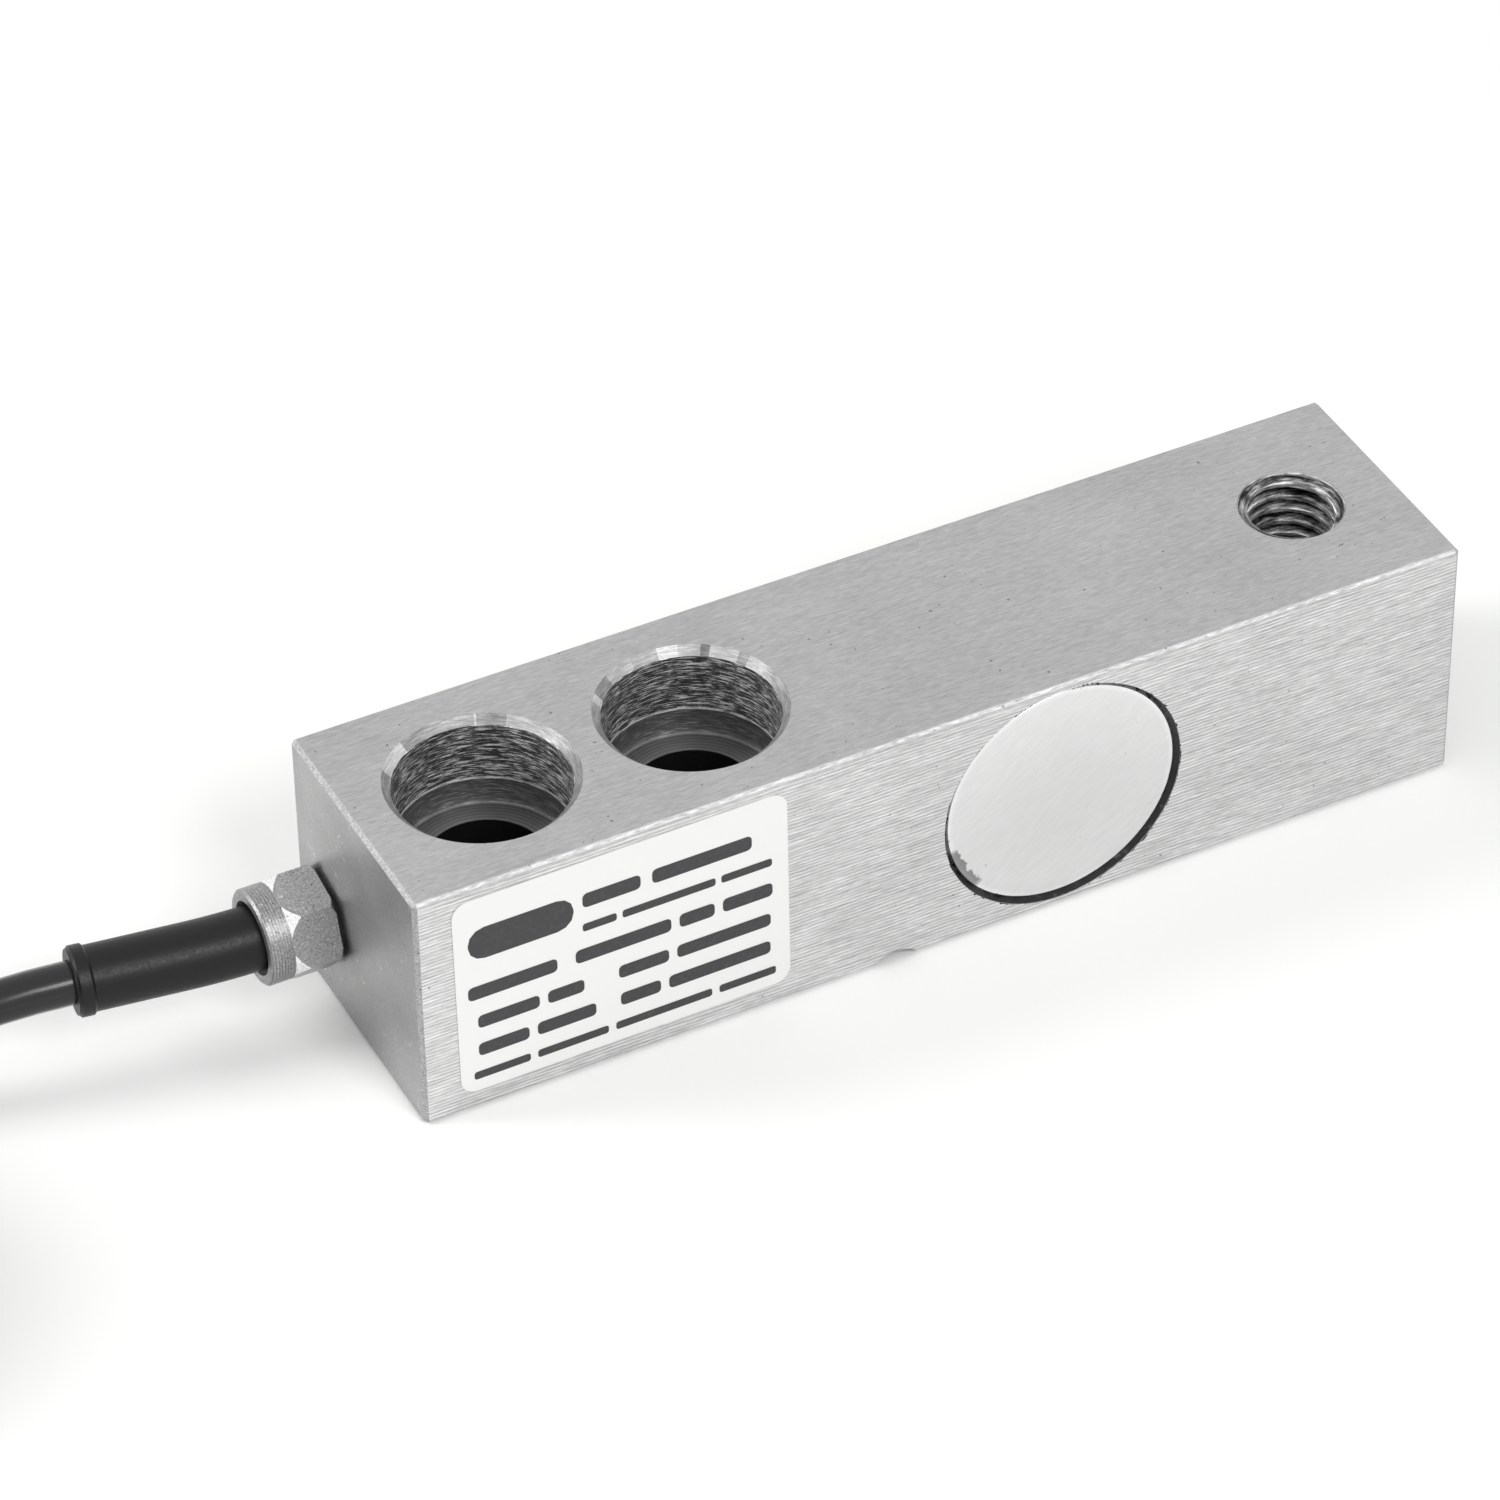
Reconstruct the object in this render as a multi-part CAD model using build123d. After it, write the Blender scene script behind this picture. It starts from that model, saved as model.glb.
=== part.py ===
from build123d import *
import math
import os

# Shear beam load cell, in millimetres
# The origin is midway between the two bolt holes, on the underside of the beam.
# +X runs along the beam to the loaded end, -Y is the labelled side and +Z is up.

# Beam block
bolt_end_distance = 15.7
bolt_spacing = 25.4
load_distance = 76.2
load_end_distance = 12.7
beam_width = 31.75
beam_height = 31.75
edge_chamfer = 0.5

# Bolt holes with counterbores for the screw heads
bolt_hole_radius = 6.75
counterbore_radius = 10.0
counterbore_depth = 11.9
counterbore_chamfer = 1.0

# Load hole, bored to the outside diameter of its thread
load_hole_radius = 6.0
load_hole_chamfer = 0.2

# Cross groove under the beam, where the bolted foot ends
groove_offset = 17.0
groove_radius = 4.0
groove_depth = 1.4

# Gauge pockets, one from each side, with a thin web between them
web_thickness = 7.75
pocket_floor_chamfer = 1.0
recess_wall = 0.875
cover_ledge = 1.5

# Pocket cover discs and the sealant round them
cover_gap = 0.4
cover_inset = 0.6
cover_thickness = 0.8
cover_rim_chamfer = 0.3
sealant_inset = 0.1

# Wire passage from the gland to the rear pocket, and the hole through the web
passage_radius = 1.6
passage_drift = 3.75
passage_run_in = 3.0
link_hole_offset = 9.5
link_hole_radius = 1.0

# Type label
label_end_distance = 4.4
label_base_distance = 2.8
label_length = 40.3
label_height = 27.3
label_corner = 2.0
label_thickness = 0.12
label_tilt = 0.4

# Cable gland
gland_rear_distance = 7.075
gland_z = 11.8
gland_thread_radius = 4.0
gland_thread_depth = 7.5
gland_thread_length = 6.5
thread_clearance = 0.05
seal_thickness = 0.6
seal_radius = 5.2
hex_width = 11.0
hex_length = 5.5
hex_turn = 12.0
hex_cone_length = 1.5
hex_back_chamfer = 0.45
collar_radius = 5.6
collar_length = 2.8
collar_chamfer = 0.25
mouth_radius = 4.35
mouth_depth = 5.3

# Rubber boot and the ring that clamps its inner flange
boot_radius = 3.75
boot_inner_flange_length = 1.2
boot_end_flange_radius = 4.05
boot_end_flange_length = 2.1
boot_end_chamfer = 0.4
boot_bend_distance = 11.6
boot_bend_radius = 70.0
boot_turn = 8.4
boot_reach = 17.9
clamp_ring_length = 2.4
flange_clearance = 0.1
ring_clearance = 0.1

# Cable
cable_radius = 2.5
gland_bore_clearance = 0.15
boot_bore_clearance = 0.05
jacket_end_depth = 5.4

# Way of the cable from the boot down to the table
run_first = 14.0
run_fall = 22.9
fall_angle = 24.0
fall_heading = 9.2
run_last = 13.0
last_heading = 10.0

# Hank of put-away cable, in line with the beam
hank_run = 82.0
hank_inner_turn = 15.5
hank_outer_turn = 20.5
hank_layers = 6
hank_edge_chamfer = 1.5
stub_clearance = 0.05

# Cable's tail inside the hank
tail_turn = 25.0
tail_clearance = 1.0
tail_run = 12.0
tail_heading = 5.0

# Insulated cores and the shield's drain wire
core_radius = 0.5
core_offset = 0.6
drain_radius = 0.3
drain_spread = 0.5
lead_first = 20.0
lead_length = 42.0
lead_end_height = 1.0
tinned_radius = 0.35
tinned_length = 6.0

# Strain gauge on each face of the web
film_length = 11.0
film_height = 8.4
film_thickness = 0.1
film_drop = 0.3
foil_thickness = 0.05
strip_count = 5
strip_length = 3.6
strip_width = 0.3
strip_pitch = 0.6
grid_offset = 2.8
tab_length = 1.8
tab_height = 1.7
tab_offset = 2.9
bar_length = 6.4
bar_height = 1.0
bar_rise = 2.5

# Compensation board, its resistors and its solder joints
board_thickness = 0.8
board_clearance = 0.2
board_top = -6.0
board_bottom = -11.2
gauge_pad_row = -7.2
gauge_pad_pitch = 2.4
cable_pad_row = -10.1
cable_pad_pitch = 3.0
resistor_length = 3.2
resistor_width = 1.2
resistor_height = 0.6
resistor_offset = 3.0
resistor_row = -8.4
fine_joint_base = 0.45
fine_joint_top = 0.3
fine_joint_height = 0.3
joint_sides = 8
core_joint_base = 0.9
core_joint_top = 0.6
core_joint_height = 0.4

# Fine link wires of the gauges
wire_sides = 6
link_radius = 0.15
link_lift = 1.2
link_spacing = 0.5
core_turn_step = 1.5
core_lift = 2.0

overcut = 1.0

# Places worked out from the sizes
beam_start = -(bolt_spacing / 2 + bolt_end_distance)
load_x = bolt_spacing / 2 + load_distance
beam_end = load_x + load_end_distance
cover_x = bolt_spacing / 2 + load_distance / 2
mid_height = beam_height / 2
recess_depth = cover_inset + cover_thickness
recess_radius = beam_height / 2 - recess_wall
pocket_radius = recess_radius - cover_ledge
pocket_depth = (beam_width - web_thickness) / 2
cover_radius = recess_radius - cover_gap
groove_x = bolt_spacing / 2 + groove_offset
gland_y = beam_width / 2 - gland_rear_distance
shank_radius = gland_thread_radius - thread_clearance
hex_end = seal_thickness + hex_length
collar_end = hex_end + collar_length
shoulder = collar_end - mouth_depth
passage_start = beam_start + gland_thread_depth - overcut
passage_end = cover_x - pocket_radius + passage_run_in


# Helpers
bottom = (Align.CENTER, Align.CENTER, Align.MIN)
top = (Align.CENTER, Align.CENTER, Align.MAX)


def turned(points):
    """Solid turned about the Z axis from (radius, height) points."""
    outline = Polyline(*[(r, 0, h) for r, h in points], close=True)
    return revolve(make_face(outline), Axis.Z)


def swept(route, radii, section):
    """Section swept along straight runs that are joined by tangent arcs."""
    path = FilletPolyline(*route, radius=radii)
    start = Plane(origin=path @ 0, z_dir=path % 0)
    return sweep(start * section, path=path)


def side_plane(side, depth, dx=0.0, dz=0.0):
    """Plane facing out of the front (-1) or rear (+1), seen from outside, at a depth."""
    centre = (cover_x + dx, side * (beam_width / 2 - depth), mid_height + dz)
    return Plane(origin=centre, x_dir=(-side, 0, 0), z_dir=(0, side, 0))


def web_plane(side, lift, dx=0.0, dz=0.0):
    """The same, measured outwards from the face of the web."""
    return side_plane(side, pocket_depth - lift, dx, dz)


def gland_plane(distance):
    """Plane across the gland's axis, facing away from the beam's end."""
    centre = (beam_start - distance, gland_y, gland_z)
    return Plane(origin=centre, x_dir=(0, 1, 0), z_dir=(-1, 0, 0))


def lifted(height):
    return Pos(0, 0, height)


# Beam body
def bolt_hole_cutter():
    floor = beam_height - counterbore_depth
    mouth = counterbore_radius + counterbore_chamfer
    return turned([
        (0, -overcut),
        (bolt_hole_radius, -overcut),
        (bolt_hole_radius, floor),
        (counterbore_radius, floor),
        (counterbore_radius, beam_height - counterbore_chamfer),
        (mouth, beam_height),
        (mouth, beam_height + overcut),
        (0, beam_height + overcut),
    ])


def load_hole_cutter():
    mouth = load_hole_radius + load_hole_chamfer
    return turned([
        (0, -overcut),
        (mouth, -overcut),
        (mouth, 0),
        (load_hole_radius, load_hole_chamfer),
        (load_hole_radius, beam_height - load_hole_chamfer),
        (mouth, beam_height),
        (mouth, beam_height + overcut),
        (0, beam_height + overcut),
    ])


def pocket_cutter(side):
    pocket = lifted(-pocket_depth) * Cylinder(pocket_radius, pocket_depth, align=bottom)
    pocket = chamfer(pocket.edges().sort_by(Axis.Z)[0], pocket_floor_chamfer)
    recess = lifted(-recess_depth) * Cylinder(recess_radius, recess_depth + overcut, align=bottom)
    return side_plane(side, 0) * (pocket + recess)


def wire_passages():
    thread = gland_plane(-gland_thread_depth) * Cylinder(
        gland_thread_radius, gland_thread_depth + overcut, align=bottom)
    start = Vector(passage_start, gland_y, gland_z)
    end = Vector(passage_end, gland_y + passage_drift, gland_z)
    passage = Plane(origin=start, z_dir=end - start) * Cylinder(
        passage_radius, (end - start).length, align=bottom)
    link = web_plane(1, overcut, link_hole_offset) * Cylinder(
        link_hole_radius, web_thickness + 2 * overcut, align=top)
    return thread + passage + link


def beam_body():
    length = beam_end - beam_start
    block = Pos(beam_start + length / 2, 0, 0) * Box(length, beam_width, beam_height, align=bottom)
    block = chamfer(block.edges(), edge_chamfer)
    for x in (-bolt_spacing / 2, bolt_spacing / 2):
        block -= Pos(x, 0, 0) * bolt_hole_cutter()
    block -= Pos(load_x, 0, 0) * load_hole_cutter()
    groove = Cylinder(groove_radius, beam_width + 2 * overcut, rotation=(90, 0, 0))
    block -= Pos(groove_x, 0, groove_depth - groove_radius) * groove
    for side in (-1, 1):
        block -= pocket_cutter(side)
    return block - wire_passages()


# Pocket covers
def cover_disc(side):
    disc = Cylinder(cover_radius, cover_thickness, align=bottom)
    disc = chamfer(disc.edges().sort_by(Axis.Z)[-1], cover_rim_chamfer)
    return side_plane(side, recess_depth) * disc


def cover_sealant(side):
    ring = turned([
        (cover_radius, 0),
        (recess_radius, 0),
        (recess_radius, recess_depth - sealant_inset),
        (cover_radius, cover_thickness - cover_rim_chamfer),
    ])
    return side_plane(side, recess_depth) * ring


def type_label():
    centre = (
        beam_start + label_end_distance + label_length / 2,
        -beam_width / 2,
        label_base_distance + label_height / 2,
    )
    face = Plane(origin=centre, x_dir=(1, 0, 0), z_dir=(0, -1, 0))
    sheet = extrude(RectangleRounded(label_length, label_height, label_corner), label_thickness)
    return face * Rot(0, 0, label_tilt) * sheet


# Cable gland
def gland_body():
    corner = hex_width / 2 / math.cos(math.pi / 6)
    outline = RegularPolygon(hex_width / 2, 6, major_radius=False, rotation=-hex_turn)
    hexagon = lifted(seal_thickness) * extrude(outline, hex_length)
    hexagon &= turned([
        (0, seal_thickness),
        (corner - hex_back_chamfer, seal_thickness),
        (corner, seal_thickness + hex_back_chamfer),
        (corner, hex_end - hex_cone_length),
        (collar_radius, hex_end),
        (0, hex_end),
    ])
    turning = turned([
        (0, -gland_thread_length),
        (shank_radius, -gland_thread_length),
        (shank_radius, hex_end),
        (collar_radius, hex_end),
        (collar_radius, collar_end - collar_chamfer),
        (collar_radius - collar_chamfer, collar_end),
        (0, collar_end),
    ])
    bore_radius = cable_radius + gland_bore_clearance
    bore = turned([
        (0, -gland_thread_length - overcut),
        (bore_radius, -gland_thread_length - overcut),
        (bore_radius, shoulder),
        (mouth_radius, shoulder),
        (mouth_radius, collar_end + overcut),
        (0, collar_end + overcut),
    ])
    return gland_plane(0) * (hexagon + turning - bore)


def gland_seal():
    ring = Cylinder(seal_radius, seal_thickness, align=bottom)
    ring -= Cylinder(shank_radius + thread_clearance, seal_thickness, align=bottom)
    return gland_plane(0) * ring


def clamp_ring():
    ring = Cylinder(mouth_radius - thread_clearance, clamp_ring_length, align=bottom)
    ring -= Cylinder(boot_radius + ring_clearance, clamp_ring_length, align=bottom)
    return gland_plane(shoulder + boot_inner_flange_length) * ring


# Rubber boot and the jacketed cable end inside it
bend_point = Vector(beam_start - boot_bend_distance, gland_y, gland_z)
boot_direction = Vector(
    -math.cos(math.radians(boot_turn)),
    math.sin(math.radians(boot_turn)),
    0,
)
boot_end = bend_point + boot_direction * boot_reach


def along_boot(distance, section):
    """Section swept from a place on the gland's axis to the boot's end."""
    start = Vector(beam_start - distance, gland_y, gland_z)
    return swept([start, bend_point, boot_end], [boot_bend_radius], section)


def cable_boot():
    tube = along_boot(shoulder, Circle(boot_radius))
    flange = gland_plane(shoulder) * Cylinder(
        mouth_radius - flange_clearance, boot_inner_flange_length, align=bottom)
    rim = Cylinder(boot_end_flange_radius, boot_end_flange_length, align=top)
    rim = chamfer(rim.edges().filter_by(GeomType.CIRCLE), boot_end_chamfer)
    rim = Plane(origin=boot_end, z_dir=boot_direction) * rim
    bore = along_boot(shoulder, Circle(cable_radius + boot_bore_clearance))
    return tube + flange + rim - bore


def cable_jacket_end():
    return along_boot(-jacket_end_depth, Circle(cable_radius))


# Cable outside the boot, with corner arcs as large as their runs allow
def arc_radii(route):
    """Radius at each corner: 0.45 of the shorter run over the tangent of half the turn."""
    radii = []
    for before, corner, after in zip(route, route[1:], route[2:]):
        run_in = corner - before
        run_out = after - corner
        half_turn = math.radians(run_in.get_angle(run_out) / 2)
        radii.append(0.45 * min(run_in.length, run_out.length) / math.tan(half_turn))
    return radii


def cable_tube(name, route):
    """Plain tube along a route, with its arc radii and its length printed."""
    radii = arc_radii(route)
    tube = swept(route, radii, Circle(cable_radius))
    length = FilletPolyline(*route, radius=radii).length
    share = tube.volume / (math.pi * cable_radius**2 * length)
    print(name, "radii", [round(r, 1) for r in radii])
    print(name, "length", round(length, 1), "volume over section times length", round(share, 4))
    return tube


lying = cable_radius
up = Vector(0, 0, 1)


def flat_heading(angle):
    """Level direction away from the beam, turned towards the rear by an angle."""
    return Vector(-math.cos(math.radians(angle)), math.sin(math.radians(angle)), 0)


hank_edge = hank_outer_turn + cable_radius
hank_core = hank_inner_turn - cable_radius
hank_height = hank_layers * 2 * cable_radius
entry = flat_heading(last_heading)
stub_radius = cable_radius - stub_clearance
entry_stub = math.sqrt((hank_edge + cable_radius)**2 - hank_outer_turn**2)

lean = run_fall * math.cos(math.radians(fall_angle))
drop = boot_end.Z - lying
run_route = [boot_end, boot_end + boot_direction * run_first]
run_route.append(run_route[-1] + flat_heading(fall_heading) * lean - up * drop)
run_route.append(run_route[-1] + entry * run_last)
near_fold = run_route[-1] + entry * entry_stub + entry.cross(up) * -hank_outer_turn
far_fold = near_fold - Vector(hank_run, 0, 0)

tail_start = near_fold + Vector(0, hank_inner_turn, 0)
tail_entry = flat_heading(-tail_turn)
tail_stub = (cable_radius * 2 + tail_clearance) / math.sin(math.radians(tail_turn))
tail_route = [tail_start + tail_entry * tail_stub]
tail_route.append(tail_route[-1] + tail_entry * tail_run)
tail_route.append(tail_route[-1] + flat_heading(-tail_heading) * tail_run)


def cable_hank():
    """Outer shape of the wound turns, with a short stub of cable at each end."""
    outline = SlotCenterToCenter(hank_run, 2 * hank_edge) - SlotCenterToCenter(hank_run, 2 * hank_core)
    ring = chamfer(extrude(outline, hank_height).faces().sort_by(Axis.Z)[-1].edges(), hank_edge_chamfer)
    middle = (near_fold + far_fold) / 2
    ring = Pos(middle.X, middle.Y, 0) * ring
    entering = Plane(origin=run_route[-1], z_dir=entry)
    ring += entering * Cylinder(stub_radius, entry_stub, align=bottom)
    leaving = Plane(origin=tail_route[0], z_dir=-tail_entry)
    return ring + leaving * Cylinder(stub_radius, tail_stub, align=bottom)


# Bare leads at the cable's far end
tail_end = tail_route[-1]
tail_direction = (tail_route[-1] - tail_route[-2]).normalized()
tail_across = up.cross(tail_direction)


def lead_route(across, rise, spread):
    """Way of one lead from the jacket's end, straight on and then fanned out and down."""
    start = tail_end + tail_across * across + up * rise
    end = tail_end + tail_direction * lead_length + tail_across * spread
    return [start, start + tail_direction * lead_first, Vector(end.X, end.Y, lead_end_height)]


def lead(across, rise, spread, radius):
    route = lead_route(across, rise, spread)
    return swept(route, arc_radii(route), Circle(radius))


def tinned_tip(across, rise, spread):
    route = lead_route(across, rise, spread)
    tip = Plane(origin=route[-1], z_dir=route[-1] - route[-2])
    return tip * Cylinder(tinned_radius, tinned_length, align=bottom)


lead_places = {
    "red": (-core_offset, -core_offset, -8.5),
    "black": (-core_offset, core_offset, -3.5),
    "green": (core_offset, core_offset, 4),
    "white": (core_offset, -core_offset, 8.5),
}


# Strain gauges
def foil_outline():
    grid = Sketch()
    for i in range(strip_count):
        across = (i - (strip_count - 1) / 2) * strip_pitch
        grid += Pos(0, across) * Rectangle(strip_length, strip_width)
    for i in range(strip_count - 1):
        across = (i - (strip_count - 2) / 2) * strip_pitch
        end = (-1)**i * (strip_length - strip_width) / 2
        grid += Pos(end, across) * Rectangle(strip_width, strip_pitch + strip_width)
    half = Pos(-grid_offset, 0) * Rot(0, 0, 45) * grid
    half += Pos(-tab_offset, -tab_offset) * Rectangle(tab_length, tab_height)
    return half + mirror(half, about=Plane.YZ) + Pos(0, bar_rise) * Rectangle(bar_length, bar_height)


def gauge_film(side):
    film = Box(film_length, film_height, film_thickness, align=bottom)
    return web_plane(side, 0, 0, -film_drop) * film


def gauge_foil(side):
    return web_plane(side, film_thickness) * extrude(foil_outline(), foil_thickness)


# Compensation board in the rear pocket
def compensation_board():
    radius = pocket_radius - pocket_floor_chamfer - board_clearance
    disc = Cylinder(radius, board_thickness, align=bottom)
    height = board_top - board_bottom
    band = Pos(0, board_bottom + height / 2, 0) * Box(
        2 * radius, height, board_thickness, align=bottom)
    return web_plane(1, 0) * (disc & band)


def trim_resistor(dx):
    chip = Box(resistor_length, resistor_width, resistor_height, align=bottom)
    return web_plane(1, board_thickness, dx, resistor_row) * chip


gauge_tabs = [(-tab_offset, -tab_offset), (tab_offset, -tab_offset), (0, bar_rise)]
gauge_pads = [(i - 2.5) * gauge_pad_pitch for i in range(6)]
cable_pads = [(i - 1.5) * cable_pad_pitch for i in range(4)]
foil_lift = film_thickness + foil_thickness


def solder_joint(base, tip, height):
    """Low cone of solder with few sides."""
    return loft([RegularPolygon(base, joint_sides), Pos(0, 0, height) * RegularPolygon(tip, joint_sides)])


def solder_joints():
    fine = solder_joint(fine_joint_base, fine_joint_top, fine_joint_height)
    large = solder_joint(core_joint_base, core_joint_top, core_joint_height)
    joints = [web_plane(side, foil_lift, dx, dz) * fine for side in (-1, 1) for dx, dz in gauge_tabs]
    joints += [web_plane(1, board_thickness, dx, gauge_pad_row) * fine for dx in gauge_pads]
    joints += [web_plane(1, board_thickness, dx, cable_pad_row) * large for dx in cable_pads]
    return Compound(children=joints)


# Wires inside the beam
def web_point(side, lift, dx, dz):
    return Vector(cover_x + dx, side * (web_thickness / 2 + lift), mid_height + dz)


def bent_wire(route, radius):
    """Fine wire with few sides, of straight runs that meet in plain mitred corners."""
    start = Plane(origin=route[0], z_dir=route[1] - route[0])
    section = RegularPolygon(radius, wire_sides)
    return sweep(start * section, path=Polyline(*route), transition=Transition.RIGHT)


def pad_end(pad, joint_height, lift):
    """Last two points of a wire that comes down onto a joint of the board."""
    top_of_joint = board_thickness + joint_height
    return [web_point(1, top_of_joint + lift, *pad), web_point(1, top_of_joint, *pad)]


def rear_link_wires():
    wires = []
    start_lift = foil_lift + fine_joint_height
    tab_order = [gauge_tabs[0], gauge_tabs[2], gauge_tabs[1]]
    for tab, pad_x in zip(tab_order, gauge_pads[:3]):
        route = [web_point(1, start_lift, *tab), web_point(1, start_lift + link_lift, *tab)]
        route += pad_end((pad_x, gauge_pad_row), fine_joint_height, link_lift)
        wires.append(bent_wire(route, link_radius))
    return Compound(children=wires)


def front_link_wires():
    wires = []
    start_lift = foil_lift + fine_joint_height
    over_front = start_lift + link_lift
    over_rear = board_thickness + fine_joint_height + link_lift
    tab_order = [gauge_tabs[1], gauge_tabs[0], gauge_tabs[2]]
    pad_order = [gauge_pads[5], gauge_pads[4], gauge_pads[3]]
    for i, (tab, pad_x) in enumerate(zip(tab_order, pad_order)):
        through = (link_hole_offset, (i - 1) * link_spacing)
        route = [
            web_point(-1, start_lift, *tab),
            web_point(-1, over_front, *tab),
            web_point(-1, over_front, *through),
            web_point(1, over_rear, *through),
        ]
        route += pad_end((pad_x, gauge_pad_row), fine_joint_height, link_lift)
        wires.append(bent_wire(route, link_radius))
    return Compound(children=wires)


def inner_core(index):
    """Insulated core from the jacket's end, along the passage and down to its pad."""
    across = core_offset if index > 1 else -core_offset
    rise = core_offset if index % 2 else -core_offset
    slope = passage_drift / (passage_end - passage_start)
    turn_x = passage_end + index * core_turn_step
    turn_y = gland_y + slope * (turn_x - passage_start) + across
    pad = (cable_pads[index], cable_pad_row)
    above_pad, on_pad = pad_end(pad, core_joint_height, core_lift)
    route = [
        Vector(beam_start + jacket_end_depth, gland_y + across, gland_z + rise),
        Vector(passage_start, gland_y + across, gland_z + rise),
        Vector(turn_x, turn_y, gland_z + rise),
        Vector(above_pad.X, turn_y, above_pad.Z),
        on_pad,
    ]
    return bent_wire(route, core_radius)


# Export, one file for each piece
parts = {
    "beam_body": beam_body(),
    "front_cover": cover_disc(-1),
    "rear_cover": cover_disc(1),
    "front_cover_sealant": cover_sealant(-1),
    "rear_cover_sealant": cover_sealant(1),
    "type_label": type_label(),
    "gland_body": gland_body(),
    "gland_seal": gland_seal(),
    "gland_clamp_ring": clamp_ring(),
    "cable_boot": cable_boot(),
    "cable_jacket_end": cable_jacket_end(),
    "cable_run": cable_tube("cable_run", run_route),
    "cable_hank": cable_hank(),
    "cable_tail": cable_tube("cable_tail", tail_route),
    "drain_lead": lead(0, 0, drain_spread, drain_radius),
    "front_gauge_film": gauge_film(-1),
    "rear_gauge_film": gauge_film(1),
    "front_gauge_foil": gauge_foil(-1),
    "rear_gauge_foil": gauge_foil(1),
    "compensation_board": compensation_board(),
    "trim_resistors": Compound(children=[trim_resistor(s * resistor_offset) for s in (-1, 1)]),
    "solder_joints": solder_joints(),
    "front_link_wires": front_link_wires(),
    "rear_link_wires": rear_link_wires(),
}
for index, (colour, place) in enumerate(lead_places.items()):
    parts[colour + "_lead"] = lead(*place, core_radius)
    parts[colour + "_inner_wire"] = inner_core(index)
parts["tinned_tips"] = Compound(children=[tinned_tip(*place) for place in lead_places.values()])

os.makedirs("parts", exist_ok=True)
for name, shape in parts.items():
    export_step(shape, "parts/" + name + ".step")
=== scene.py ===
import math
import random

import bmesh
import bpy
from mathutils import Matrix, Vector


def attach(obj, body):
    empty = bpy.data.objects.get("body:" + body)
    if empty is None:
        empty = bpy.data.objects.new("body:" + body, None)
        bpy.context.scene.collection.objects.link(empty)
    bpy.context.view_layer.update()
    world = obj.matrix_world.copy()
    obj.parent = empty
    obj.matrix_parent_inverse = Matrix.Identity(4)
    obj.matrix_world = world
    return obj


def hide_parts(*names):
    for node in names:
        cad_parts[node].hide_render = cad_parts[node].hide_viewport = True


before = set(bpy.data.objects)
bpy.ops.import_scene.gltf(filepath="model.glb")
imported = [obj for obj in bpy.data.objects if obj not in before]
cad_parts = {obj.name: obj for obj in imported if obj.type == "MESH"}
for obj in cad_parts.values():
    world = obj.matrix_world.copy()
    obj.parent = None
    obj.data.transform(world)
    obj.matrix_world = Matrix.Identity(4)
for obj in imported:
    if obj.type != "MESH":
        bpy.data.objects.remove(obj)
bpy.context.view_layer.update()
print("frame loaded:", len(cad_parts), "nodes")


# Shared helpers
def hexColour(text):
    # sRGB hex to the linear values that the shaders take
    levels = [int(text[i:i + 2], 16) / 255 for i in (0, 2, 4)]
    return [c / 12.92 if c <= 0.04045 else ((c + 0.055) / 1.055) ** 2.4 for c in levels] + [1.0]


def addNode(tree, kind, links=None, **settings):
    node = tree.nodes.new("ShaderNode" + kind)
    for name, value in settings.items():
        setattr(node, name, value)
    for socket, value in (links or {}).items():
        if isinstance(value, bpy.types.Node):
            value = value.outputs[0]
        if isinstance(value, bpy.types.NodeSocket):
            tree.links.new(value, node.inputs[socket])
        else:
            node.inputs[socket].default_value = value
    return node


def newMaterial(name):
    # empty material, and the place on the object in metres
    material = bpy.data.materials.new(name)
    material.use_nodes = True
    tree = material.node_tree
    tree.nodes.clear()
    return material, tree, addNode(tree, "TexCoord").outputs["Object"]


def finishMaterial(material, surface):
    # the surface shader with its settings, and the output
    shader = addNode(material.node_tree, "BsdfPrincipled", surface)
    addNode(material.node_tree, "OutputMaterial", {"Surface": shader})
    return material


def addStretched(tree, spot, scales, noise):
    # noise with its own scale along each axis
    stretched = addNode(tree, "VectorMath", {0: spot, 1: scales}, operation="MULTIPLY")
    return addNode(tree, "TexNoise", {"Vector": stretched, "Scale": 1.0, **noise})


def addPatches(tree, spot, noise, levels):
    # a noise and the levels that it gives
    patches = addNode(tree, "TexNoise", {"Vector": spot, **noise})
    return addNode(tree, "MapRange", {"Value": patches, **levels})


def addUp(tree, total, *parts):
    # a total and all that is added to it
    for part in parts:
        total = addNode(tree, "Math", {0: total, 1: part}, operation="ADD")
    return total


def setRamp(node, stops):
    ramp = node.color_ramp
    while len(ramp.elements) < len(stops):
        ramp.elements.new(0.5)
    for element, (position, colour) in zip(ramp.elements, stops):
        element.position = position
        element.color = hexColour(colour)
    return node


def addObject(name, data):
    made = bpy.data.objects.new(name, data)
    bpy.context.scene.collection.objects.link(made)
    return made


def addMesh(name, bm):
    mesh = bpy.data.meshes.new(name)
    bm.to_mesh(mesh)
    bm.free()
    return addObject(name, mesh)


def dressPiece(piece, material, replaced=()):
    piece.data.materials.append(material)
    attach(piece, "root")
    if replaced:
        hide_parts(*replaced)
    return piece


def sharpenEdges(bm, angle):
    # smooth shading, apart from edges that turn more than the angle
    for face in bm.faces:
        face.smooth = True
    for edge in bm.edges:
        edge.smooth = len(edge.link_faces) == 2 and edge.calc_face_angle() < math.radians(angle)


def settleOrder(bm):
    # corners, edges and faces in the same order in each run
    place = {v: i for i, v in enumerate(sorted(bm.verts, key=lambda v: tuple(v.co)))}
    for parts in (bm.edges, bm.faces):
        ordered = sorted(parts, key=lambda part: sorted(place[v] for v in part.verts))
        order = {part: i for i, part in enumerate(ordered)}
        parts.sort(key=order.get)
    bm.verts.sort(key=place.get)


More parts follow.
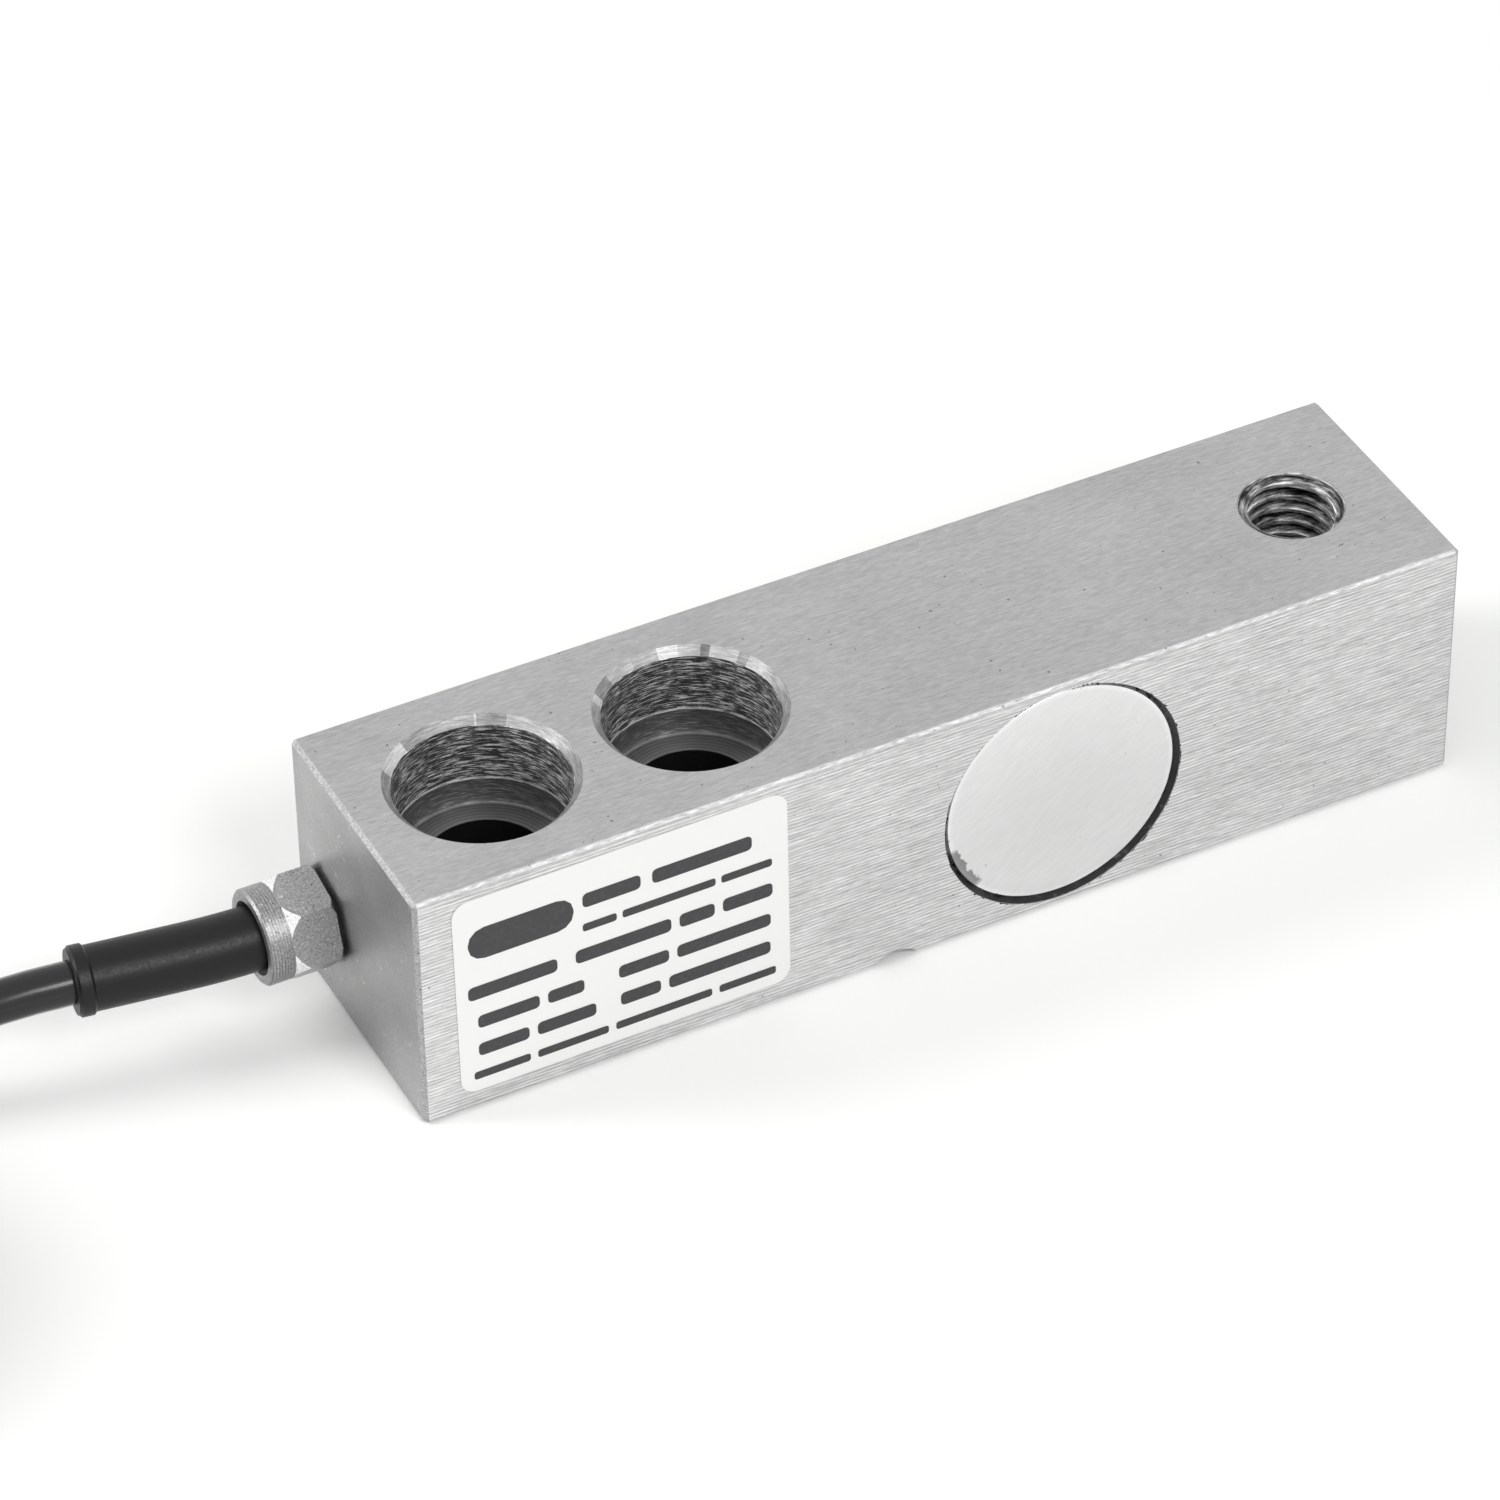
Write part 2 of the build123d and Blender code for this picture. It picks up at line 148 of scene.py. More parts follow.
roundAngle = 24
mergeDistance = 1e-6


def smoothCopy(node, material):
    # the CAD solid with its corners merged, so that its round faces shade as round
    bm = bmesh.new()
    bm.from_mesh(bpy.data.objects[node].data)
    bmesh.ops.remove_doubles(bm, verts=bm.verts, dist=mergeDistance)
    sharpenEdges(bm, roundAngle)
    return dressPiece(addMesh(node.replace("_", "") + ".shaded", bm), material, [node])


def mm(*values):
    # millimetres to metres
    return [v / 1000 for v in values] if len(values) > 1 else values[0] / 1000


def perMetre(sizes):
    # how often patterns of these sizes in millimetres fit into a metre
    return [1000 / size for size in sizes]


def waveAngle(pitch):
    # radians in a metre for a wave that repeats at this pitch in millimetres
    return 2 * math.pi / mm(pitch)


# Camera, fitted to the edges of the block
cameraFit = {
    "place": (-0.24659, -0.53215, 0.52159),
    "right": (0.88949701, -0.45677714, -0.01223597),
    "up": (0.30180042, 0.56717827, 0.76630629),
    "back": (-0.34309122, -0.68531997, 0.6423589),
    "lens": 168.26,
    "sensor": 36.0,
    "clip": (0.05, 20),
}
cameraData = bpy.data.cameras.new("photoCamera")
cameraData.lens = cameraFit["lens"]
cameraData.sensor_width = cameraFit["sensor"]
cameraData.clip_start, cameraData.clip_end = cameraFit["clip"]
camera = addObject("photoCamera", cameraData)
turn = Matrix([cameraFit["right"], cameraFit["up"], cameraFit["back"]]).transposed()
camera.matrix_world = Matrix.Translation(cameraFit["place"]) @ turn.to_4x4()
bpy.context.scene.camera = camera
print("camera set")


# Cable: PVC jacket, extruded, so it is an even black with a soft gloss
cableLook = {
    "black": "050505",
    "specular": 0.55,
    "wave": {"Scale": 1000 / 9, "Detail": 2.0},
    "roughness": {3: 0.15, 4: 0.27},
    "grain": {"Scale": 2500.0, "Detail": 3.0},
    "relief": {"Strength": 0.12, "Distance": mm(0.02)},
}


def cableMaterial():
    material, tree, spot = newMaterial("extrudedPvcJacket")
    rough = addPatches(tree, spot, cableLook["wave"], cableLook["roughness"])
    grain = addNode(tree, "TexNoise", {"Vector": spot, **cableLook["grain"]})
    bump = addNode(tree, "Bump", {"Height": grain, **cableLook["relief"]})
    return finishMaterial(material, {
        "Base Color": hexColour(cableLook["black"]), "Roughness": rough,
        "Specular IOR Level": cableLook["specular"], "Normal": bump})


# route, folds and tail are places in millimetres, and the turns are radii of the hank's ends
cable = {
    "diameter": 5.0,
    "length": 2880.0,
    "route": [(-57.708, 11.415, 11.8), (-71.558, 13.460, 11.8), (-92.209, 16.805, 2.5)],
    "nearFold": (-123.507, 1.507),
    "farFold": (-205.507, 1.507),
    "outerTurn": 20.5,
    "innerTurn": 15.5,
    "layers": 6,
    "foldPoints": 8,
    "entryLead": 1.79,
    "entryStretch": 30.0,
    "tail": [(-123.507, 17.007, 2.5), (-147.249, 5.936, 2.5), (-159.204, 4.890, 2.5)],
    "splineSteps": 6,
    "roundSteps": 5,
}


def foldPoints(centre, startAngle, radii, heights):
    # control points round one fold, a little outside the line that the spline takes
    count = cable["foldPoints"]
    step = 180 / count
    points = []
    for i in range(count):
        share = min(1, i / (count - 2))
        radius = (radii[0] + (radii[1] - radii[0]) * share) / math.cos(math.radians(step / 2))
        angle = math.radians(startAngle + step * (i + 0.5))
        points.append((centre[0] + radius * math.cos(angle), centre[1] + radius * math.sin(angle),
                       heights[0] + (heights[1] - heights[0]) * share))
    return points


def hankPoints():
    # the outer turns climb from the table, then the inner ones come down to it again
    near, far = cable["nearFold"], cable["farFold"]
    thick, outer, inner = cable["diameter"], cable["outerTurn"], cable["innerTurn"]
    top = cable["layers"] - 1
    levels = list(range(top + 1)) + list(range(top - 1, 0, -1))
    points = [(near[0] + cable["entryLead"], near[1] + outer, thick / 2)]
    for lap, level in enumerate(levels):
        z = thick * (level + 0.5)
        before = outer if lap <= top else inner
        after = outer if lap < top else inner
        nextZ = z + thick if lap < top else z - thick
        gapBefore, gapAfter = [r * math.tan(math.radians(90 / cable["foldPoints"])) for r in (before, after)]
        leaving = cable["entryStretch"] if lap == 0 else gapBefore
        points.append((near[0] - leaving, near[1] + before, z))
        points.append((far[0] + gapBefore, far[1] + before, z))
        points += foldPoints(far, 90, (before, after), (z, z))
        points.append((far[0] + gapAfter, far[1] - after, z))
        points.append((near[0] - gapAfter, near[1] - after, z))
        points += foldPoints(near, -90, (after, after), (z, nextZ))
    return points


def addCord(name, points, diameter, material, replaced):
    curve = bpy.data.curves.new(name, "CURVE")
    curve.dimensions = "3D"
    spline = curve.splines.new("NURBS")
    spline.points.add(len(points) - 1)
    for point, (x, y, z) in zip(spline.points, points):
        point.co = (mm(x), mm(y), mm(z), 1)
    spline.order_u = 3
    spline.use_endpoint_u = True
    curve.resolution_u = cable["splineSteps"]
    curve.bevel_depth = mm(diameter / 2)
    curve.bevel_resolution = cable["roundSteps"]
    curve.use_fill_caps = True
    return dressPiece(addObject(name, curve), material, replaced)


cablePiece = addCord("cable", cable["route"] + hankPoints() + cable["tail"], cable["diameter"],
                     cableMaterial(), ["cable_run", "cable_hank", "cable_tail"])
print("cable wound")


# Nylon ties round the two bundles of the put-away cable
tie = {
    "x": -164.5,
    "width": 3.6,
    "thickness": 1.0,
    "corner": 2.4,
    "cornerSteps": 5,
    "bundleLow": 12.9,
    "bundleHigh": 23.1,
    "height": 30.0,
    "head": (4.6, 5.0, 3.6),
    "headAside": -1.5,
    "headRise": 1.4,
    "headCorner": 0.5,
    "shadeAngle": 35,
    "black": "121212",
    "roughness": 0.42,
    "grain": {"Scale": 1200.0, "Detail": 3.0},
    "ribScale": 220.0,
    "relief": {"Strength": 0.25, "Distance": mm(0.08)},
}


def nylonMaterial():
    # injection-moulded nylon: black, waxy half gloss
    material, tree, spot = newMaterial("mouldedNylonTie")
    grain = addNode(tree, "TexNoise", {"Vector": spot, **tie["grain"]})
    ribs = addNode(tree, "TexWave", {"Vector": spot, "Scale": tie["ribScale"]},
                   wave_type="BANDS", bands_direction="Z")
    height = addNode(tree, "Math", {0: grain, 1: ribs}, operation="ADD")
    bump = addNode(tree, "Bump", {"Height": height, **tie["relief"]})
    return finishMaterial(material, {
        "Base Color": hexColour(tie["black"]), "Roughness": tie["roughness"], "Normal": bump})


def addTie(name, side, material):
    # a strap in a rounded loop round one bundle, with its locking head on top
    bm = bmesh.new()
    middle = cable["nearFold"][1] + side * (tie["bundleLow"] + tie["bundleHigh"]) / 2
    low = tie["thickness"]
    loopSize = mm(tie["bundleHigh"] - tie["bundleLow"], tie["height"] - low)
    loopPlace = mm(tie["x"] - tie["width"] / 2, middle, low + (tie["height"] - low) / 2)
    corners = bmesh.ops.create_grid(bm, x_segments=1, y_segments=1, size=0.5)["verts"]
    bmesh.ops.delete(bm, geom=bm.faces[:], context="FACES_ONLY")
    bmesh.ops.scale(bm, verts=corners, vec=(*loopSize, 1))
    for axis in ("X", "Z"):
        bmesh.ops.rotate(bm, verts=corners, cent=(0, 0, 0), matrix=Matrix.Rotation(math.pi / 2, 3, axis))
    bmesh.ops.translate(bm, verts=corners, vec=loopPlace)
    bmesh.ops.bevel(bm, geom=bm.verts[:], offset=mm(tie["corner"]), segments=tie["cornerSteps"],
                    profile=0.5, affect="VERTICES", material=-1)
    strip = bmesh.ops.extrude_edge_only(bm, edges=bm.edges[:])["geom"]
    farSide = [v for v in strip if isinstance(v, bmesh.types.BMVert)]
    bmesh.ops.translate(bm, verts=farSide, vec=mm(tie["width"], 0, 0))
    bmesh.ops.recalc_face_normals(bm, faces=bm.faces[:])
    # the strap thickens outwards, so its faces look away from the bundle
    middleSpot = Vector(mm(tie["x"], middle, tie["height"] / 2))
    if (bm.faces[0].calc_center_median() - middleSpot).dot(bm.faces[0].normal) < 0:
        bmesh.ops.reverse_faces(bm, faces=bm.faces[:])
    bmesh.ops.solidify(bm, geom=bm.faces[:], thickness=mm(-tie["thickness"]))
    head = bmesh.ops.create_cube(bm, size=1)["verts"]
    bmesh.ops.scale(bm, verts=head, vec=mm(*tie["head"]))
    headPlace = mm(tie["x"], middle + tie["headAside"], tie["height"] + tie["headRise"])
    bmesh.ops.translate(bm, verts=head, vec=headPlace)
    headEdges = list(dict.fromkeys(e for v in head for e in v.link_edges))
    bmesh.ops.bevel(bm, geom=headEdges, offset=mm(tie["headCorner"]), segments=2,
                    profile=0.5, affect="EDGES", material=-1)
    bmesh.ops.recalc_face_normals(bm, faces=bm.faces[:])
    sharpenEdges(bm, tie["shadeAngle"])
    settleOrder(bm)
    return dressPiece(addMesh(name, bm), material)


nylon = nylonMaterial()
for name, side in (("rearTie", 1), ("frontTie", -1)):
    addTie(name, side, nylon)
print("ties closed")


# Stripped leads at the far end: PVC-insulated cores and the bare drain wire
leads = {
    "end": (-159.204, 4.890, 2.5),
    "along": (-0.99619, -0.08716),
    "across": (0.08716, -0.99619),
    "first": 20.0,
    "length": 42.0,
    "endHeight": 1.0,
    "cores": {
        "red": (-0.6, -0.6, -8.5, "b3191c"),
        "black": (-0.6, 0.6, -3.5, "101011"),
        "green": (0.6, 0.6, 4, "1d7a3a"),
        "white": (0.6, -0.6, 8.5, "e6e5e0"),
    },
    "coreDiameter": 1.0,
    "drainDiameter": 0.6,
    "drainSpread": 0.5,
    "splineShare": 0.985,
}


def insulationMaterial(name, colour):
    # extruded PVC core insulation: even colour, soft gloss
    material, tree, spot = newMaterial(name)
    grain = addNode(tree, "TexNoise", {"Vector": spot, "Scale": 1800.0, "Detail": 2.0})
    bump = addNode(tree, "Bump", {"Height": grain, "Strength": 0.1, "Distance": mm(0.02)})
    return finishMaterial(material, {
        "Base Color": hexColour(colour), "Roughness": 0.38, "IOR": 1.52, "Normal": bump})


def tinnedMaterial():
    # tinned stranded copper: bright grey metal with the lay of the strands across it
    material, tree, spot = newMaterial("tinnedCopperStrand")
    strand = addNode(tree, "TexWave", {"Vector": spot, "Scale": 450.0, "Distortion": 1.5},
                     wave_type="BANDS", bands_direction="DIAGONAL")
    bump = addNode(tree, "Bump", {"Height": strand, "Strength": 0.5, "Distance": mm(0.05)})
    return finishMaterial(material, {
        "Base Color": hexColour("c4c2bc"), "Metallic": 1.0, "Roughness": 0.35, "Normal": bump})


def leadPoints(across, rise, spread):
    # straight on from the jacket's end, then fanned out and down
    x, y, z = leads["end"]
    ux, uy = leads["along"]
    vx, vy = leads["across"]
    ahead, far = leads["first"], leads["length"]
    start = (x + vx * across, y + vy * across, z + rise)
    return [start, (start[0] + ux * ahead, start[1] + uy * ahead, z + rise),
            (x + ux * far + vx * spread, y + uy * far + vy * spread, leads["endHeight"])]


tinned = tinnedMaterial()
strands = [("drain", leadPoints(0, 0, leads["drainSpread"]), leads["drainDiameter"],
            tinned, "tinned_copper", "drain_lead")]
for colour, (across, rise, spread, hexText) in leads["cores"].items():
    insulation = insulationMaterial(colour + "Insulation", hexText)
    strands.append((colour, leadPoints(across, rise, spread), leads["coreDiameter"],
                    insulation, colour + "_insulation", colour + "_lead"))
for name, points, diameter, material, slot, node in strands:
    piece = addCord(name + "Lead", points, diameter, material, [node])
print("leads laid")


# Beam: alloy steel, ground and nickel-plated, so it is a pale grey metal with fine grain along its length.
# A tone is a share of white, a size is in millimetres, and a scale is how many patterns make a metre.
# Sockets 1 to 4 of a range are the values that it reads from, low and high, and those that it gives.
steelLook = {
    "topTone": 0.70,
    "sideLitTone": 0.80,
    "endShadedTone": 0.655,
    "edgeTone": 0.70,
    "edgeRagged": 0.34,
    "edgeHighlightBand": {1: mm(0.30), 2: mm(0.38), 3: 0.12, 4: 0.0},
    "edgeRoughness": 0.35,
    "roughness": {1: 0.3, 2: 0.7, 3: 0.34, 4: 0.46},
    "streakSize": (5.0, 0.24, 0.24),
    "streakNoise": {"Detail": 5.0, "Roughness": 0.65},
    "streakAmount": {3: 0.14, 4: 0.50},
    "fineScale": (900.0, 6000.0, 6000.0),
    "fineNoise": {"Detail": 3.0},
    "fineAmount": {3: 0.5, 4: 0.22},
    "cloudNoise": {"Scale": 70.0, "Detail": 3.0},
    "cloudAmount": {3: 0.08, 4: 0.2},
    "cutterPitch": 0.47,
    "wanderScale": (60.0, 60.0, 260.0),
    "wanderNoise": {"Detail": 2.0},
    "wanderAmount": 7.0,
    "ridgeAmount": 0.06,
    "pitNoise": {"Scale": 1500.0, "Detail": 1.0},
    "pitTone": {1: 0.76, 2: 0.80, 3: 0.0, 4: -0.22},
    "scuffNoise": {"Scale": 420.0, "Detail": 5.0, "Roughness": 0.8, "Distortion": 1.5},
    "scuffTone": {1: 0.60, 2: 0.68, 3: 0.0, 4: 0.16},
    "rubNoise": {"Scale": 650.0, "Detail": 3.0, "Roughness": 0.7},
    "rubReach": {1: 0.53, 2: 0.75, 3: 0.0, 4: mm(0.36)},
    "rubTone": 0.2,
    "relief": {"Strength": 0.25, "Distance": mm(0.03)},
}
boreLook = {
    "upperShadedTone": 0.38,
    "lowerShadedTone": 0.33,
    "metal": 0.45,
    "tearSize": (1.9, 1.9, 0.14),
    "tearNoise": {"Detail": 4.0, "Roughness": 0.7},
    "tornTone": {1: 0.49, 2: 0.62, 3: -0.12, 4: 0.85},
    "tornRelief": 12.0,
    "calm": {3: 1.0, 4: 0.25},
    "ledgeHighlightTone": {1: mm(0.08), 2: mm(0.22), 3: 1.0, 4: 0.0},
    "ledgeBroken": {1: 0.4, 2: 0.55, 3: 0.35, 4: 0.95},
    "floorTone": 0.66,
    "ringPitch": 0.5,
    "ringAmount": 0.05,
    "cornerTone": {1: mm(9.55), 2: mm(9.85), 3: 0.0, 4: 0.42},
    "shankShadedTone": 0.13,
    "chatterTurn": 3.2,
    "chatterSeed": 7.7,
    "chatterAndHighlightTone": {1: 0.1, 2: 0.9, 3: 0.50, 4: 0.86},
    "mouthTone": 0.58,
    "backHighlightReach": {1: 0.15, 2: 0.6, 3: 0.0, 4: 1.0},
    "scratch": {1: 0.4, 2: 0.6, 3: -0.08, 4: 0.08},
    "loadTone": 0.45,
    "loadMouthTone": 0.68,
    "loadScratch": 2.0,
}
steelShape = {
    "height": 31.75,
    "boltAxis": 12.7,
    "loadAxis": 88.9,
    "edge": 0.5,
    "pocket": (50.8, 15.875),
    "recess": 15.0,
    "mouth": 11.0,
    "mouthDepth": 0.97,
    "ledgeHeight": 23.35,
    "boltHole": 6.75,
    "loadHole": 6.3,
    "loadMouthDepth": 0.5,
    "skin": 0.02,
    "spare": 0.05,
    "squareOn": 0.9,
    "sideOn": 0.1,
}
greySteps = [(i / 8, "%02x" % round(255 * i / 8) * 3) for i in range(9)]


def toneColour(tree, tone):
    # a tone from 0 to 1 as the sRGB grey that the eye sees as that share of white
    return setRamp(addNode(tree, "ValToRGB", {"Fac": tone}), greySteps)


def distanceFrom(tree, across, along, centre):
    # distance of a place from an axis, both in the plane of the two coordinates
    near, far = [addNode(tree, "Math", {0: value, 1: mm(middle)}, operation="SUBTRACT")
                 for value, middle in zip((across, along), centre)]
    spot = addNode(tree, "CombineXYZ", {0: near, 1: far})
    return addNode(tree, "VectorMath", {0: spot}, operation="LENGTH").outputs["Value"]


def steelMaterial():
    material, tree, spot = newMaterial("groundNickelPlatedSteel")
    at = addNode(tree, "SeparateXYZ", {0: spot})
    x, y, z = [at.outputs[axis] for axis in ("X", "Y", "Z")]
    outward = addNode(tree, "VectorMath", {0: spot.node.outputs["Normal"]}, operation="ABSOLUTE")
    facing = addNode(tree, "SeparateXYZ", {0: outward})
    squareOn = steelShape["squareOn"]
    up, side, end = [addNode(tree, "Math", {0: facing.outputs[axis], 1: squareOn}, operation="GREATER_THAN")
                     for axis in ("Z", "Y", "X")]
    flat = addUp(tree, up, side, end)

    # grain: streaks along the beam, a fine speckle, and cloudy patches, each with its own strength by face
    streak = addStretched(tree, spot, perMetre(steelLook["streakSize"]), steelLook["streakNoise"])
    fineGrain = addStretched(tree, spot, steelLook["fineScale"], steelLook["fineNoise"])
    cloud = addNode(tree, "TexNoise", {"Vector": spot, **steelLook["cloudNoise"]})
    tones = []
    for noise, mask, amount in ((streak, side, "streakAmount"), (fineGrain, flat, "fineAmount"),
                                (cloud, end, "cloudAmount")):
        swing = addNode(tree, "Math", {0: noise, 1: 0.5}, operation="SUBTRACT")
        strength = addNode(tree, "MapRange", {"Value": mask, **steelLook[amount]})
        tones.append(addNode(tree, "Math", {0: swing, 1: strength}, operation="MULTIPLY"))
    streakTone, fineTone, cloudTone = tones

    # the cutter's lines on the sides: even ridges that wander a little
    wander = addStretched(tree, spot, steelLook["wanderScale"], steelLook["wanderNoise"])
    wander = addNode(tree, "Math", {0: wander, 1: steelLook["wanderAmount"]}, operation="MULTIPLY")
    ridge = addNode(tree, "Math", {0: z, 1: waveAngle(steelLook["cutterPitch"])}, operation="MULTIPLY")
    ridge = addNode(tree, "Math", {0: ridge, 1: wander}, operation="ADD")
    ridge = addNode(tree, "Math", {0: ridge}, operation="SINE")
    ridgeTone = addNode(tree, "Math", {0: ridge, 1: side}, operation="MULTIPLY")
    ridgeTone = addNode(tree, "Math", {0: ridgeTone, 1: steelLook["ridgeAmount"]}, operation="MULTIPLY")

    # sparse dark pits of the plating, and scuffs on the ends
    pitTone = addPatches(tree, spot, steelLook["pitNoise"], steelLook["pitTone"])
    scuffTone = addPatches(tree, spot, steelLook["scuffNoise"], steelLook["scuffTone"])
    scuffTone = addNode(tree, "Math", {0: scuffTone, 1: end}, operation="MULTIPLY")
    cloudTone = addNode(tree, "Math", {0: cloudTone, 1: scuffTone}, operation="ADD")
    grain = addUp(tree, streakTone, ridgeTone, pitTone, fineTone, cloudTone)

    # a painted highlight along the middle of the long edges under the top, and one tone for each way of
    # facing
    edgeMiddle = mm(steelShape["height"] - steelShape["edge"] / 2)
    edgeFar = addNode(tree, "Math", {0: z, 1: edgeMiddle}, operation="SUBTRACT")
    edgeFar = addNode(tree, "Math", {0: edgeFar}, operation="ABSOLUTE")
    edgeFar = addNode(tree, "Math", {0: fineGrain, 1: mm(steelLook["edgeRagged"]), 2: edgeFar},
                      operation="MULTIPLY_ADD")
    paintedHighlight = addNode(tree, "MapRange", {"Value": edgeFar, **steelLook["edgeHighlightBand"]})
    sideOn = steelShape["sideOn"]
    alongBeam = addNode(tree, "Math", {0: facing.outputs["X"], 1: sideOn}, operation="LESS_THAN")
    paintedHighlight = addNode(tree, "Math", {0: paintedHighlight, 1: alongBeam}, operation="MULTIPLY")
    tone = addNode(tree, "Math", {0: paintedHighlight, 1: steelLook["edgeTone"]}, operation="ADD")
    # the tones by facing are painted light and shade: the sides lighter and the ends darker than the top
    for mask, level in ((up, "topTone"), (side, "sideLitTone"), (end, "endShadedTone")):
        tone = addNode(tree, "Mix", {0: mask, 2: tone, 3: steelLook[level]})
    tone = addNode(tree, "Math", {0: tone, 1: grain}, operation="ADD")

    # sealant rubbed onto the steel here and there along the rim of each pocket
    pocketFar = distanceFrom(tree, x, z, steelShape["pocket"])
    rub = addPatches(tree, spot, steelLook["rubNoise"], steelLook["rubReach"])
    rub = addNode(tree, "Math", {0: rub, 1: mm(steelShape["recess"])}, operation="ADD")
    rubbed = addNode(tree, "Math", {0: pocketFar, 1: rub}, operation="LESS_THAN")
    rubbed = addNode(tree, "Math", {0: rubbed, 1: side}, operation="MULTIPLY")
    tone = addNode(tree, "Mix", {0: rubbed, 2: tone, 3: steelLook["rubTone"]})

    # bolt holes, by the distance from the nearer of their two axes
    sign = addNode(tree, "Math", {0: x}, operation="SIGN")
    axis = addNode(tree, "Math", {0: sign, 1: mm(steelShape["boltAxis"])}, operation="MULTIPLY")
    dx = addNode(tree, "Math", {0: x, 1: axis}, operation="SUBTRACT")
    flatSpot = addNode(tree, "CombineXYZ", {0: dx, 1: y})
    far = addNode(tree, "VectorMath", {0: flatSpot}, operation="LENGTH").outputs["Value"]
    topSkin = mm(steelShape["height"] - steelShape["skin"])
    below = addNode(tree, "Math", {0: z, 1: topSkin}, operation="LESS_THAN")
    above = addNode(tree, "Math", {0: z, 1: mm(steelShape["skin"])}, operation="GREATER_THAN")
    reach = mm(steelShape["mouth"] + steelShape["spare"])
    within = addNode(tree, "Math", {0: far, 1: reach}, operation="LESS_THAN")
    inside = addNode(tree, "Math", {0: below, 1: above}, operation="MULTIPLY")
    inside = addNode(tree, "Math", {0: inside, 1: within}, operation="MULTIPLY")

    # counterbore wall: torn short streaks round the bore, a painted highlight along the line of the turned
    # ledge, smoother under it
    tear = addStretched(tree, spot, perMetre(boreLook["tearSize"]), boreLook["tearNoise"])
    torn = addNode(tree, "MapRange", {"Value": tear, **boreLook["tornTone"]})
    lower = addNode(tree, "Math", {0: z, 1: mm(steelShape["ledgeHeight"])}, operation="LESS_THAN")
    calm = addNode(tree, "MapRange", {"Value": lower, **boreLook["calm"]})
    torn = addNode(tree, "Math", {0: torn, 1: calm}, operation="MULTIPLY")
    ledgeHighlight = addNode(tree, "Math", {0: z, 1: mm(steelShape["ledgeHeight"])}, operation="SUBTRACT")
    ledgeHighlight = addNode(tree, "Math", {0: ledgeHighlight}, operation="ABSOLUTE")
    ledgeHighlight = addNode(tree, "MapRange", {"Value": ledgeHighlight, **boreLook["ledgeHighlightTone"]})
    broken = addNode(tree, "MapRange", {"Value": tear, **boreLook["ledgeBroken"]})
    ledgeHighlight = addNode(tree, "Math", {0: ledgeHighlight, 1: broken}, operation="MULTIPLY")
    # the wall's plain tones are painted shade of the deep bore, darker below the ledge
    plain = addNode(tree, "Mix", {0: lower, 2: boreLook["upperShadedTone"], 3: boreLook["lowerShadedTone"]})
    wallTone = addUp(tree, torn, plain, ledgeHighlight)

    # counterbore floor: turned rings, bright at the outer corner
    ring = addNode(tree, "Math", {0: far, 1: waveAngle(boreLook["ringPitch"])}, operation="MULTIPLY")
    ring = addNode(tree, "Math", {0: ring}, operation="SINE")
    floorTone = addNode(tree, "Math", {0: ring, 1: boreLook["ringAmount"], 2: boreLook["floorTone"]},
                        operation="MULTIPLY_ADD")
    corner = addNode(tree, "MapRange", {"Value": far, **boreLook["cornerTone"]})
    floorTone = addNode(tree, "Math", {0: floorTone, 1: corner}, operation="ADD")
    boreTone = addNode(tree, "Mix", {0: up, 2: wallTone, 3: floorTone})
    # the bolt hole's shank is painted near black as shade
    shankReach = mm(steelShape["boltHole"] + 2 * steelShape["spare"])
    shank = addNode(tree, "Math", {0: far, 1: shankReach}, operation="LESS_THAN")
    boreTone = addNode(tree, "Mix", {0: shank, 2: boreTone, 3: boreLook["shankShadedTone"]})

    # countersunk mouth: an even cut, with chatter marks across it that are painted bright at the back as a
    # painted highlight
    mouthFloor = mm(steelShape["height"] - steelShape["mouthDepth"])
    mouth = addNode(tree, "Math", {0: z, 1: mouthFloor}, operation="GREATER_THAN")
    angle = addNode(tree, "Math", {0: y, 1: dx}, operation="ARCTAN2")
    turned = addNode(tree, "Math", {0: angle, 1: boreLook["chatterTurn"]}, operation="MULTIPLY")
    shifted = addNode(tree, "Math", {0: sign, 1: boreLook["chatterSeed"]}, operation="MULTIPLY")
    chatterSpot = addNode(tree, "CombineXYZ", {0: turned, 1: shifted})
    chatter = addNode(tree, "TexVoronoi", {"Vector": chatterSpot, "Scale": 1.0}, voronoi_dimensions="2D")
    mouthTone = addNode(tree, "MapRange", {"Value": chatter.outputs["Color"], **boreLook["chatterAndHighlightTone"]})
    # the chatter shows only at the back, as painted highlight
    backHighlight = addNode(tree, "Math", {0: y, 1: far}, operation="DIVIDE")
    backHighlight = addNode(tree, "MapRange", {"Value": backHighlight, **boreLook["backHighlightReach"]})
    mouthTone = addNode(tree, "Mix", {0: backHighlight, 2: boreLook["mouthTone"], 3: mouthTone})
    scratch = addNode(tree, "MapRange", {"Value": tear, **boreLook["scratch"]})
    mouthTone = addNode(tree, "Math", {0: mouthTone, 1: scratch}, operation="ADD")
    boreTone = addNode(tree, "Mix", {0: mouth, 2: boreTone, 3: mouthTone})
    tone = addNode(tree, "Mix", {0: inside, 2: tone, 3: boreTone})

